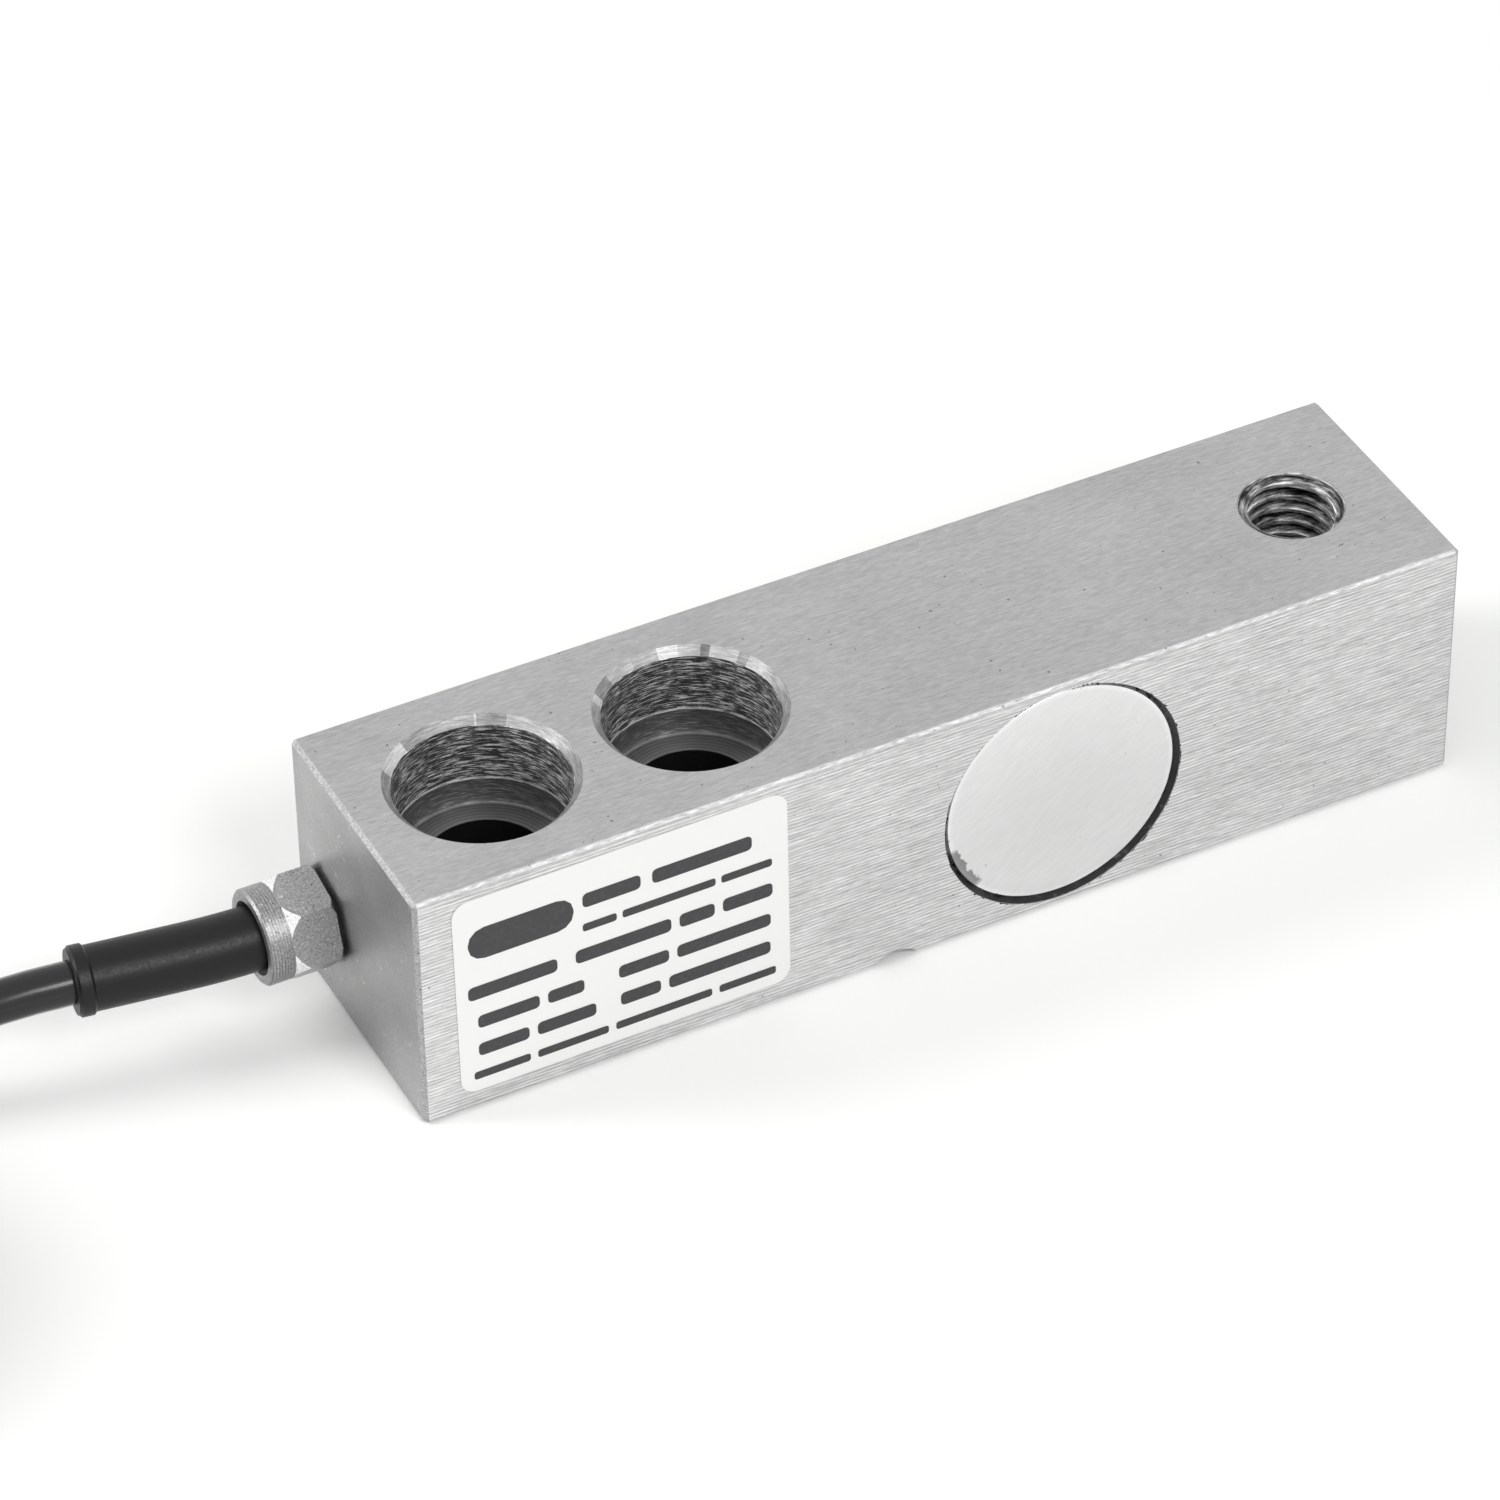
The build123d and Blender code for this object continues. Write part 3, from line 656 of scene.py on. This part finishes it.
    # load hole, seen behind its thread
    fromLoad = addNode(tree, "Math", {0: x, 1: mm(steelShape["loadAxis"])}, operation="SUBTRACT")
    loadSpot = addNode(tree, "CombineXYZ", {0: fromLoad, 1: y})
    loadFar = addNode(tree, "VectorMath", {0: loadSpot}, operation="LENGTH").outputs["Value"]
    inLoad = addNode(tree, "Math", {0: loadFar, 1: mm(steelShape["loadHole"])}, operation="LESS_THAN")
    inLoad = addNode(tree, "Math", {0: inLoad, 1: below}, operation="MULTIPLY")
    loadMouthFloor = mm(steelShape["height"] - steelShape["loadMouthDepth"])
    loadMouth = addNode(tree, "Math", {0: z, 1: loadMouthFloor}, operation="GREATER_THAN")
    cut = addNode(tree, "Math", {0: scratch, 1: boreLook["loadScratch"], 2: boreLook["loadMouthTone"]},
                  operation="MULTIPLY_ADD")
    loadTone = addNode(tree, "Mix", {0: loadMouth, 2: boreLook["loadTone"], 3: cut})
    tone = addNode(tree, "Mix", {0: inLoad, 2: tone, 3: loadTone})

    # duller broken edges, and rougher, less metallic metal on the walls of the bores, whose darker tone is
    # painted shade
    notUp, notFlat, notInside = [addNode(tree, "Math", {0: 1.0, 1: mask}, operation="SUBTRACT")
                                 for mask in (up, flat, inside)]
    wall = addNode(tree, "Math", {0: inside, 1: notUp}, operation="MULTIPLY")
    metal = addNode(tree, "MapRange", {"Value": wall, 3: 1.0, 4: boreLook["metal"]})
    roughness = addNode(tree, "MapRange", {"Value": streak, **steelLook["roughness"]})
    brokenEdge = addNode(tree, "Math", {0: notFlat, 1: notInside}, operation="MULTIPLY")
    roughness = addNode(tree, "Math", {0: brokenEdge, 1: steelLook["edgeRoughness"], 2: roughness},
                        operation="MULTIPLY_ADD")
    tornHeight = addNode(tree, "Math", {0: tear, 1: wall}, operation="MULTIPLY")
    tornHeight = addNode(tree, "Math", {0: tornHeight, 1: boreLook["tornRelief"]}, operation="MULTIPLY")
    bumpHeight = addNode(tree, "Math", {0: streak, 1: tornHeight}, operation="ADD")
    bump = addNode(tree, "Bump", {"Height": bumpHeight, **steelLook["relief"]})
    return finishMaterial(material, {
        "Base Color": toneColour(tree, tone), "Metallic": metal, "Roughness": roughness, "Normal": bump})


smoothCopy("beam_body", steelMaterial())
print("beam dressed")


# Internal thread of the load hole, cut to the metric M12 form
thread = {
    "axis": 88.9,
    "rootRadius": 6.03,
    "crestRadius": 5.06,
    "pitch": 1.75,
    "crestWidth": 0.44,
    "rootWidth": 1.53,
    "start": 0.62,
    "turns": 17.75,
    "steps": 40,
    "height": 31.75,
    "endGap": 0.12,
    "countersinkOut": 0.1,
    "countersinkSlope": 1.8,
    "tear": 0.09,
    "tearWithin": 5.5,
    "seed": 7,
    "crestHighlightRootShade": {1: mm(5.05), 2: mm(5.75), 3: 0.78, 4: 0.34},
    "oilNoise": {"Scale": 260.0, "Detail": 2.0},
    "oilTone": {1: 0.5, 2: 0.62, 3: 0.0, 4: -0.3},
    "tearSize": (2.2, 2.2, 0.14),
    "tearNoise": {"Detail": 4.0, "Roughness": 0.7},
    "tearTone": {1: 0.38, 2: 0.62, 3: -0.30, 4: 0.30},
    "relief": {"Strength": 0.5, "Distance": mm(0.08)},
    "metal": 0.7,
    "roughness": 0.38,
}


def threadMaterial():
    # tapped steel: torn crests painted bright as highlight, flanks painted dark towards the roots as shade,
    # and cutting oil left in the roots
    material, tree, spot = newMaterial("tappedSteel")
    axis = (mm(thread["axis"]), 0.0, 0.0)
    spot = addNode(tree, "VectorMath", {0: spot, 1: axis}, operation="SUBTRACT")
    flatSpot = addNode(tree, "VectorMath", {0: spot, 1: (1.0, 1.0, 0.0)}, operation="MULTIPLY")
    radius = addNode(tree, "VectorMath", {0: flatSpot}, operation="LENGTH").outputs["Value"]
    # painted highlight on the crests, fading to painted shade towards the roots
    crest = addNode(tree, "MapRange", {"Value": radius, **thread["crestHighlightRootShade"]})
    oilTone = addPatches(tree, spot, thread["oilNoise"], thread["oilTone"])
    tear = addStretched(tree, spot, perMetre(thread["tearSize"]), thread["tearNoise"])
    tearTone = addNode(tree, "MapRange", {"Value": tear, **thread["tearTone"]})
    tone = addUp(tree, crest, tearTone, oilTone)
    bump = addNode(tree, "Bump", {"Height": tear, **thread["relief"]})
    return finishMaterial(material, {
        "Base Color": toneColour(tree, tone), "Metallic": thread["metal"],
        "Roughness": thread["roughness"], "Normal": bump})


def addThread():
    bm = bmesh.new()
    axis, height = mm(thread["axis"], thread["height"])
    root, crest = thread["rootWidth"] / 2, thread["crestWidth"] / 2
    profile = [(thread["rootRadius"], -root), (thread["crestRadius"], -crest),
               (thread["crestRadius"], crest), (thread["rootRadius"], root)]
    corners = [bm.verts.new(mm(thread["axis"] + r, 0, thread["start"] + z)) for r, z in profile]
    for i in range(len(corners)):
        bm.edges.new((corners[i - 1], corners[i]))
    bmesh.ops.spin(bm, geom=bm.verts[:] + bm.edges[:], cent=(axis, 0, 0), axis=(0, 0, 1),
                   dvec=(0, 0, mm(thread["pitch"] / thread["steps"])), angle=2 * math.pi * thread["turns"],
                   steps=round(thread["steps"] * thread["turns"]))
    bmesh.ops.holes_fill(bm, edges=bm.edges[:], sides=4)
    # the countersink at each end cuts the ridge down, and the tap has torn its crest a little
    pick = random.Random(thread["seed"])
    gap = mm(thread["endGap"])
    for vert in bm.verts:
        out = Vector((vert.co.x - axis, vert.co.y))
        vert.co.z = min(max(vert.co.z, gap), height - gap)
        below = min(vert.co.z, height - vert.co.z)
        torn = mm(thread["tear"]) * pick.uniform(-1, 1) if out.length < mm(thread["tearWithin"]) else 0
        cone = mm(thread["rootRadius"] + thread["countersinkOut"]) - below * thread["countersinkSlope"]
        far = max(out.length + torn, cone)
        vert.co.x = axis + out.x * far / out.length
        vert.co.y = out.y * far / out.length
    bmesh.ops.remove_doubles(bm, verts=bm.verts[:], dist=mergeDistance)
    bmesh.ops.recalc_face_normals(bm, faces=bm.faces[:])
    sharpenEdges(bm, roundAngle)
    settleOrder(bm)
    return dressPiece(addMesh("loadHoleThread", bm), threadMaterial())


addThread()
print("thread cut")


# Pocket covers: stainless discs, finely sanded to a satin, and the black sealant round them
coverLook = {
    "tone": 0.845,
    "roughness": 0.33,
    "grainTurn": 38,
    "grainSize": (2.5, 1.0, 0.12),
    "grainNoise": {"Detail": 4.0, "Roughness": 0.6},
    "grainTone": {3: -0.06, 4: 0.06},
    "topLightTone": {1: mm(2), 2: mm(30), 3: 0.0, 4: 0.022},
    "rimHighlightTone": {1: mm(13.6), 2: mm(14.4), 3: 0.0, 4: 0.07},
    "dishShadeTone": {1: mm(4), 2: mm(13), 3: 0.0, 4: 0.02},
    "smearAngle": -152,
    "smearNear": {1: math.radians(12), 2: math.radians(15), 3: 1.0, 4: 0.0},
    "smearNoise": {"Scale": 900.0, "Detail": 4.0, "Roughness": 0.7},
    "smearFrom": 12.3,
    "smearRagged": 2.2,
    "smearTone": {1: 0.0, 2: mm(0.15), 3: 0.0, 4: -0.32},
    "creepNoise": {"Scale": 800.0, "Detail": 4.0, "Roughness": 0.75},
    "creepLine": {1: 0.52, 2: 0.75, 3: mm(14.6), 4: mm(13.9)},
    "creepTone": -0.65,
    "speckNoise": {"Scale": 1300.0, "Detail": 1.0},
    "speckTone": {1: 0.77, 2: 0.81, 3: 0.0, 4: -0.25},
    "relief": {"Strength": 0.12, "Distance": mm(0.01)},
}
coverPlace = (50.8, 0.0, 15.875)
sealantLook = {
    "lumps": {"Scale": 700.0, "Detail": 4.0},
    "roughness": {1: 0.35, 2: 0.65, 3: 0.3, 4: 0.6},
    "blacks": [(0.3, "0c0c0c"), (0.6, "1a1a1a"), (0.74, "5a5a5a")],
    "ior": 1.41,
    "relief": {"Strength": 0.7, "Distance": mm(0.15)},
}


def coverMaterial():
    material, tree, spot = newMaterial("satinStainlessDisc")
    grainTurn = (0.0, math.radians(coverLook["grainTurn"]), 0.0)
    turned = addNode(tree, "Mapping", {"Vector": spot, "Rotation": grainTurn})
    grain = addStretched(tree, turned, perMetre(coverLook["grainSize"]), coverLook["grainNoise"])
    grainTone = addNode(tree, "MapRange", {"Value": grain, **coverLook["grainTone"]})

    # painted light that makes the disc lighter towards the top, a painted highlight round the rim, and a grey
    # smear low on the cable's side
    at = addNode(tree, "SeparateXYZ", {0: spot})
    # painted light: lighter towards the top
    rise = addNode(tree, "MapRange", {"Value": at.outputs["Z"], **coverLook["topLightTone"]})
    fromCentre = addNode(tree, "VectorMath", {0: spot, 1: mm(*coverPlace)}, operation="SUBTRACT")
    fromCentre = addNode(tree, "VectorMath", {0: fromCentre, 1: (1.0, 0.0, 1.0)}, operation="MULTIPLY")
    far = addNode(tree, "VectorMath", {0: fromCentre}, operation="LENGTH").outputs["Value"]
    # painted highlight round the rim
    rimHighlight = addNode(tree, "MapRange", {"Value": far, **coverLook["rimHighlightTone"]})
    # painted shade, a little darker towards the middle of the disc
    dishShade = addNode(tree, "MapRange", {"Value": far, **coverLook["dishShadeTone"]})
    turn = addNode(tree, "SeparateXYZ", {0: fromCentre})
    angle = addNode(tree, "Math", {0: turn.outputs["Z"], 1: turn.outputs["X"]}, operation="ARCTAN2")
    smearAngle = math.radians(coverLook["smearAngle"])
    offAngle = addNode(tree, "Math", {0: angle, 1: smearAngle}, operation="SUBTRACT")
    offAngle = addNode(tree, "Math", {0: offAngle}, operation="ABSOLUTE")
    smearEdge = addNode(tree, "TexNoise", {"Vector": spot, **coverLook["smearNoise"]})
    ragged, start = mm(coverLook["smearRagged"], coverLook["smearFrom"])
    smearLine = addNode(tree, "Math", {0: smearEdge, 1: ragged, 2: start}, operation="MULTIPLY_ADD")
    smearDepth = addNode(tree, "Math", {0: far, 1: smearLine}, operation="SUBTRACT")
    smear = addNode(tree, "MapRange", {"Value": smearDepth, **coverLook["smearTone"]})
    near = addNode(tree, "MapRange", {"Value": offAngle, **coverLook["smearNear"]})
    smear = addNode(tree, "Math", {0: smear, 1: near}, operation="MULTIPLY")

    # black sealant that crept over the rim in nicks, and fine dark specks
    creepLine = addPatches(tree, spot, coverLook["creepNoise"], coverLook["creepLine"])
    crept = addNode(tree, "Math", {0: far, 1: creepLine}, operation="GREATER_THAN")
    crept = addNode(tree, "Math", {0: crept, 1: coverLook["creepTone"]}, operation="MULTIPLY")
    speckTone = addPatches(tree, spot, coverLook["speckNoise"], coverLook["speckTone"])
    tone = addUp(tree, rise, coverLook["tone"], grainTone, dishShade, rimHighlight, smear, speckTone, crept)
    bump = addNode(tree, "Bump", {"Height": grain, **coverLook["relief"]})
    return finishMaterial(material, {
        "Base Color": toneColour(tree, tone), "Metallic": 1.0,
        "Roughness": coverLook["roughness"], "Normal": bump})


def sealantMaterial():
    # cured silicone: deep black, half gloss, wiped by hand so that it is uneven
    material, tree, spot = newMaterial("curedSiliconeSealant")
    lumps = addNode(tree, "TexNoise", {"Vector": spot, **sealantLook["lumps"]})
    rough = addNode(tree, "MapRange", {"Value": lumps, **sealantLook["roughness"]})
    colour = setRamp(addNode(tree, "ValToRGB", {"Fac": lumps}), sealantLook["blacks"])
    bump = addNode(tree, "Bump", {"Height": lumps, **sealantLook["relief"]})
    return finishMaterial(material, {
        "Base Color": colour, "Roughness": rough, "IOR": sealantLook["ior"], "Normal": bump})


cover = coverMaterial()
sealant = sealantMaterial()
for side in ("front", "rear"):
    smoothCopy(side + "_cover", cover)
    smoothCopy(side + "_cover_sealant", sealant)
print("covers set")


# Type label: white polyester film, thermal-transfer printed with plain blocks in place of words
label = {
    "film": "e7e7e6",
    "filmRoughness": {3: 0.42, 4: 0.58},
    "inks": [(0.5, "313133"), (0.9, "454547")],
    "face": -16.015,
    "centre": (-3.85, 0, 16.45),
    "tilt": 0.4,
    "wordCorner": 0.3,
    "fieldCorner": 0.45,
    "rows": [
        (24.6, 2.0, [(-8.6, -1.6), (-0.2, 11.9)]),
        (20.8, 1.1, [(-8.7, -4.6), (-3.9, 7.4), (8.1, 14.3)]),
        (16.9, 1.9, [(-22.6, -11.9), (-9.7, 1.9), (2.9, 7.2), (8.2, 14.3)]),
        (12.6, 1.8, [(-21.6, -14.2), (-13.2, -8.8), (-4.6, 1.5), (2.5, 14.0)]),
        (8.6, 1.8, [(-21.7, -15.6), (-14.6, -7.5), (-4.5, 0.4), (1.4, 13.9)]),
        (5.0, 1.1, [(-22.4, -15.6), (-14.7, -6.1), (-5.2, 6.6), (7.5, 14.5)]),
    ],
    "field": (-16.0, 23.7, 12.6, 4.4),
}


def filmMaterial():
    # polyester film: even white, faint orange peel, half matt
    material, tree, spot = newMaterial("whitePolyesterFilm")
    peel = addNode(tree, "TexNoise", {"Vector": spot, "Scale": 500.0, "Detail": 2.0})
    rough = addNode(tree, "MapRange", {"Value": peel, **label["filmRoughness"]})
    bump = addNode(tree, "Bump", {"Height": peel, "Strength": 0.08, "Distance": mm(0.03)})
    return finishMaterial(material, {
        "Base Color": hexColour(label["film"]), "Roughness": rough, "IOR": 1.5, "Normal": bump})


def inkMaterial():
    # thermal-transfer ribbon: near black, slightly starved of ink in places
    material, tree, spot = newMaterial("transferRibbonInk")
    starved = addNode(tree, "TexNoise", {"Vector": spot, "Scale": 1500.0, "Detail": 3.0})
    colour = setRamp(addNode(tree, "ValToRGB", {"Fac": starved}), label["inks"])
    return finishMaterial(material, {"Base Color": colour, "Roughness": 0.5})


def addBlock(bm, x, z, width, height, corner):
    # one printed block, facing the labelled side
    made = bmesh.ops.create_grid(bm, x_segments=1, y_segments=1, size=0.5)["verts"]
    bmesh.ops.scale(bm, verts=made, vec=(mm(width), mm(height), 1))
    bmesh.ops.rotate(bm, verts=made, cent=(0, 0, 0), matrix=Matrix.Rotation(math.pi / 2, 3, "X"))
    bmesh.ops.translate(bm, verts=made, vec=mm(x, label["face"], z))
    bmesh.ops.bevel(bm, geom=made, offset=mm(corner), segments=3, profile=0.5,
                    affect="VERTICES", material=-1)


def addPrint():
    bm = bmesh.new()
    for z, height, words in label["rows"]:
        for start, end in words:
            addBlock(bm, (start + end) / 2, z, end - start, height, height * label["wordCorner"])
    x, z, width, height = label["field"]
    addBlock(bm, x, z, width, height, height * label["fieldCorner"])
    tilt = Matrix.Rotation(math.radians(-label["tilt"]), 3, "Y")
    bmesh.ops.rotate(bm, verts=bm.verts[:], cent=mm(*label["centre"]), matrix=tilt)
    return dressPiece(addMesh("labelPrint", bm), inkMaterial())


def dressNode(node, material):
    # a new material on a CAD solid whose shape stays
    slots = bpy.data.objects[node].material_slots
    for slot in slots:
        slot.material = material


dressNode("type_label", filmMaterial())
addPrint()
print("label printed")


# Cable gland: turned brass, nickel-plated, so it is a grey metal with turned lines on its collar
gland = {
    "axis": (8.8, 11.8),
    "hexEnd": -34.5,
    "mouth": 4.36,
    "tone": 0.65,
    "collarTone": 0.59,
    "coneHighlightTone": 0.93,
    "mouthTone": 0.85,
    "roughness": 0.36,
    "collarRoughness": 0.46,
    "coneFacing": -0.3,
    "coneReach": {1: mm(-32.98), 2: mm(-33.1), 3: 0.0, 4: 1.0},
    "turnPitch": 0.35,
    "fadeNoise": {"Scale": 260.0, "Detail": 3.0},
    "turnAmount": {1: 0.35, 2: 0.65, 3: 0.0, 4: 0.09},
    "pitNoise": {"Scale": 4200.0, "Detail": 3.0, "Roughness": 0.65},
    "pitTone": {1: 0.3, 2: 0.7, 3: -0.10, 4: 0.10},
    "speckNoise": {"Scale": 3800.0, "Detail": 1.0},
    "speckTone": {1: 0.66, 2: 0.72, 3: 0.0, 4: 0.18},
    "nickTone": {1: 0.30, 2: 0.25, 3: 0.0, 4: -0.35},
    "relief": {"Strength": 0.35, "Distance": mm(0.05)},
}
rubberLook = {
    "specular": 0.32,
    "detail": 4.0,
    "grainRange": {1: 0.3, 2: 0.7},
    "roughnessSwing": 0.07,
    "relief": {"Strength": 0.3, "Distance": mm(0.04)},
}


def glandMaterial():
    material, tree, spot = newMaterial("nickelPlatedBrass")
    at = addNode(tree, "SeparateXYZ", {0: spot})
    radius = distanceFrom(tree, at.outputs["Y"], at.outputs["Z"], gland["axis"])
    collar = addNode(tree, "Math", {0: at.outputs["X"], 1: mm(gland["hexEnd"])}, operation="LESS_THAN")

    # turned lines on the collar that fade in and out, coarser than the real feed so that they show
    turnAngle = waveAngle(gland["turnPitch"])
    turns = addNode(tree, "Math", {0: at.outputs["X"], 1: turnAngle}, operation="MULTIPLY")
    turns = addNode(tree, "Math", {0: turns}, operation="SINE")
    fade = addPatches(tree, spot, gland["fadeNoise"], gland["turnAmount"])
    turns = addNode(tree, "Math", {0: turns, 1: fade}, operation="MULTIPLY")
    turnTone = addNode(tree, "Math", {0: turns, 1: collar}, operation="MULTIPLY")

    # pits of the plating, bright specks and dark nicks
    pits = addNode(tree, "TexNoise", {"Vector": spot, **gland["pitNoise"]})
    pitTone = addNode(tree, "MapRange", {"Value": pits, **gland["pitTone"]})
    specks = addNode(tree, "TexNoise", {"Vector": spot, **gland["speckNoise"]})
    speckTone = addNode(tree, "MapRange", {"Value": specks, **gland["speckTone"]})
    nicks = addNode(tree, "MapRange", {"Value": specks, **gland["nickTone"]})
    speckTone = addNode(tree, "Math", {0: speckTone, 1: nicks}, operation="ADD")

    # one tone each for the hexagon, its cone painted bright as a highlight, the collar, and the mouth painted
    # light against the shade of its narrow gap
    coneFar = addNode(tree, "MapRange", {"Value": at.outputs["X"], **gland["coneReach"]})
    facing = addNode(tree, "SeparateXYZ", {0: spot.node.outputs["Normal"]})
    along = addNode(tree, "Math", {0: facing.outputs["X"], 1: gland["coneFacing"]}, operation="LESS_THAN")
    cone = addNode(tree, "Math", {0: along, 1: coneFar}, operation="MULTIPLY")
    # the mouth is painted light where its narrow gap lies in shade
    inMouth = addNode(tree, "Math", {0: radius, 1: mm(gland["mouth"])}, operation="LESS_THAN")
    tone = gland["tone"]
    for mask, level in ((cone, "coneHighlightTone"), (collar, "collarTone"), (inMouth, "mouthTone")):
        tone = addNode(tree, "Mix", {0: mask, 2: tone, 3: gland[level]})
    tone = addUp(tree, tone, pitTone, turnTone, speckTone)
    rough = addNode(tree, "MapRange", {"Value": collar, 3: gland["roughness"], 4: gland["collarRoughness"]})
    height = addNode(tree, "Math", {0: turnTone, 1: pits}, operation="ADD")
    bump = addNode(tree, "Bump", {"Height": height, **gland["relief"]})
    return finishMaterial(material, {
        "Base Color": toneColour(tree, tone), "Metallic": 1.0, "Roughness": rough, "Normal": bump})


def rubberMaterial(name, colour, grainSize, roughness):
    # moulded rubber: dull black with the fine grain of its mould
    material, tree, spot = newMaterial(name)
    swing = rubberLook["roughnessSwing"]
    grain = addNode(tree, "TexNoise", {
        "Vector": spot, "Scale": 1000 / grainSize, "Detail": rubberLook["detail"]})
    rough = addNode(tree, "MapRange", {
        "Value": grain, **rubberLook["grainRange"], 3: roughness - swing, 4: roughness + swing})
    bump = addNode(tree, "Bump", {"Height": grain, **rubberLook["relief"]})
    return finishMaterial(material, {
        "Base Color": hexColour(colour), "Roughness": rough,
        "Specular IOR Level": rubberLook["specular"], "Normal": bump})


nickel = glandMaterial()
smoothCopy("gland_body", nickel)
smoothCopy("gland_clamp_ring", nickel)
smoothCopy("gland_seal", rubberMaterial("nitrileSeal", "0d0d0d", 0.5, 0.5))
smoothCopy("cable_boot", rubberMaterial("mouldedRubberBoot", "0e0e0e", 0.35, 0.42))
dressNode("cable_jacket_end", cablePiece.data.materials[0])
dressNode("tinned_tips", tinned)
print("gland and boot dressed")


# Pieces under the covers: foil gauges, board and fine wires
innerLook = {
    "film": "b9772a",
    "foil": "b7a98f",
    "board": "1f6a3c",
    "chip": "1a1a1c",
    "enamel": "9c4a1c",
    "roughnessSwing": 0.08,
}


def plainGrain(name, colour, metallic, roughness, grainSize):
    # an even finish with a fine grain, for what only an opened pocket shows
    material, tree, spot = newMaterial(name)
    swing = innerLook["roughnessSwing"]
    grain = {"Scale": 1000 / grainSize, "Detail": 3.0}
    rough = addPatches(tree, spot, grain, {3: roughness - swing, 4: roughness + swing})
    return finishMaterial(material, {
        "Base Color": hexColour(colour), "Metallic": metallic, "Roughness": rough})


filmSheet = plainGrain("polyimideFilm", innerLook["film"], 0.0, 0.3, 0.8)
etchedFoil = plainGrain("etchedConstantanFoil", innerLook["foil"], 1.0, 0.35, 0.3)
enamelWire = plainGrain("enamelledCopperWire", innerLook["enamel"], 1.0, 0.35, 0.3)
for side in ("front", "rear"):
    dressNode(side + "_gauge_film", filmSheet)
    dressNode(side + "_gauge_foil", etchedFoil)
    dressNode(side + "_link_wires", enamelWire)
dressNode("compensation_board", plainGrain("glassEpoxyBoard", innerLook["board"], 0.0, 0.45, 0.4))
dressNode("trim_resistors", plainGrain("glazedChipResistor", innerLook["chip"], 0.0, 0.4, 0.4))
dressNode("solder_joints", tinned)
for colour in leads["cores"]:
    dressNode(colour + "_inner_wire", bpy.data.materials[colour + "Insulation"])
print("inner pieces dressed")


# Floor, soft studio light and white surroundings
studio = {
    "floor": "fefefd",
    "floorSize": 6.0,
    "floorRoughness": 0.8,
    "floorSpecular": 0.2,
    "floorRelief": {"Strength": 0.02, "Distance": mm(0.1)},
    "around": 0.66,
    "aim": (0.03, 0, 0.01),
    "lampSize": 0.45,
    "lamps": {
        "frontSoftbox": {"place": (0.10, -0.80, 0.78), "power": 4.6},
        "backSoftbox": {"place": (-0.85, 0.45, 0.60), "power": 5.5},
    },
}
floorBm = bmesh.new()
bmesh.ops.create_grid(floorBm, x_segments=1, y_segments=1, size=studio["floorSize"] / 2)
floor = addMesh("studioFloor", floorBm)
floorMaterial, floorTree, floorSpot = newMaterial("mattePaintedBoard")
floorGrain = addNode(floorTree, "TexNoise", {"Vector": floorSpot, "Scale": 400.0})
floorBump = addNode(floorTree, "Bump", {"Height": floorGrain, **studio["floorRelief"]})
finishMaterial(floorMaterial, {
    "Base Color": hexColour(studio["floor"]), "Roughness": studio["floorRoughness"],
    "Specular IOR Level": studio["floorSpecular"], "Normal": floorBump})
floor.data.materials.append(floorMaterial)

for name, lamp in studio["lamps"].items():
    data = bpy.data.lights.new(name, "AREA")
    data.shape = "DISK"
    data.size = studio["lampSize"]
    data.energy = lamp["power"]
    light = addObject(name, data)
    light.location = lamp["place"]
    light.rotation_mode = "QUATERNION"
    light.rotation_quaternion = (Vector(lamp["place"]) - Vector(studio["aim"])).to_track_quat("Z", "Y")

# the surroundings are white where they are seen or mirrored, and dimmer as a light
world = bpy.data.worlds.new("paleStudio")
bpy.context.scene.world = world
world.use_nodes = True
sky = world.node_tree
sky.nodes.clear()
rays = addNode(sky, "LightPath")
seen = rays.outputs["Is Camera Ray"]
for ray in ("Is Glossy Ray", "Is Transmission Ray"):
    seen = addNode(sky, "Math", {0: seen, 1: rays.outputs[ray]}, operation="MAXIMUM")
strength = addNode(sky, "MapRange", {"Value": seen, 3: studio["around"], 4: 1.0})
white = addNode(sky, "Background", {"Color": hexColour("ffffff"), "Strength": strength})
addNode(sky, "OutputWorld", {"Surface": white})
bpy.context.scene.view_settings.view_transform = "Standard"
print("studio lit")
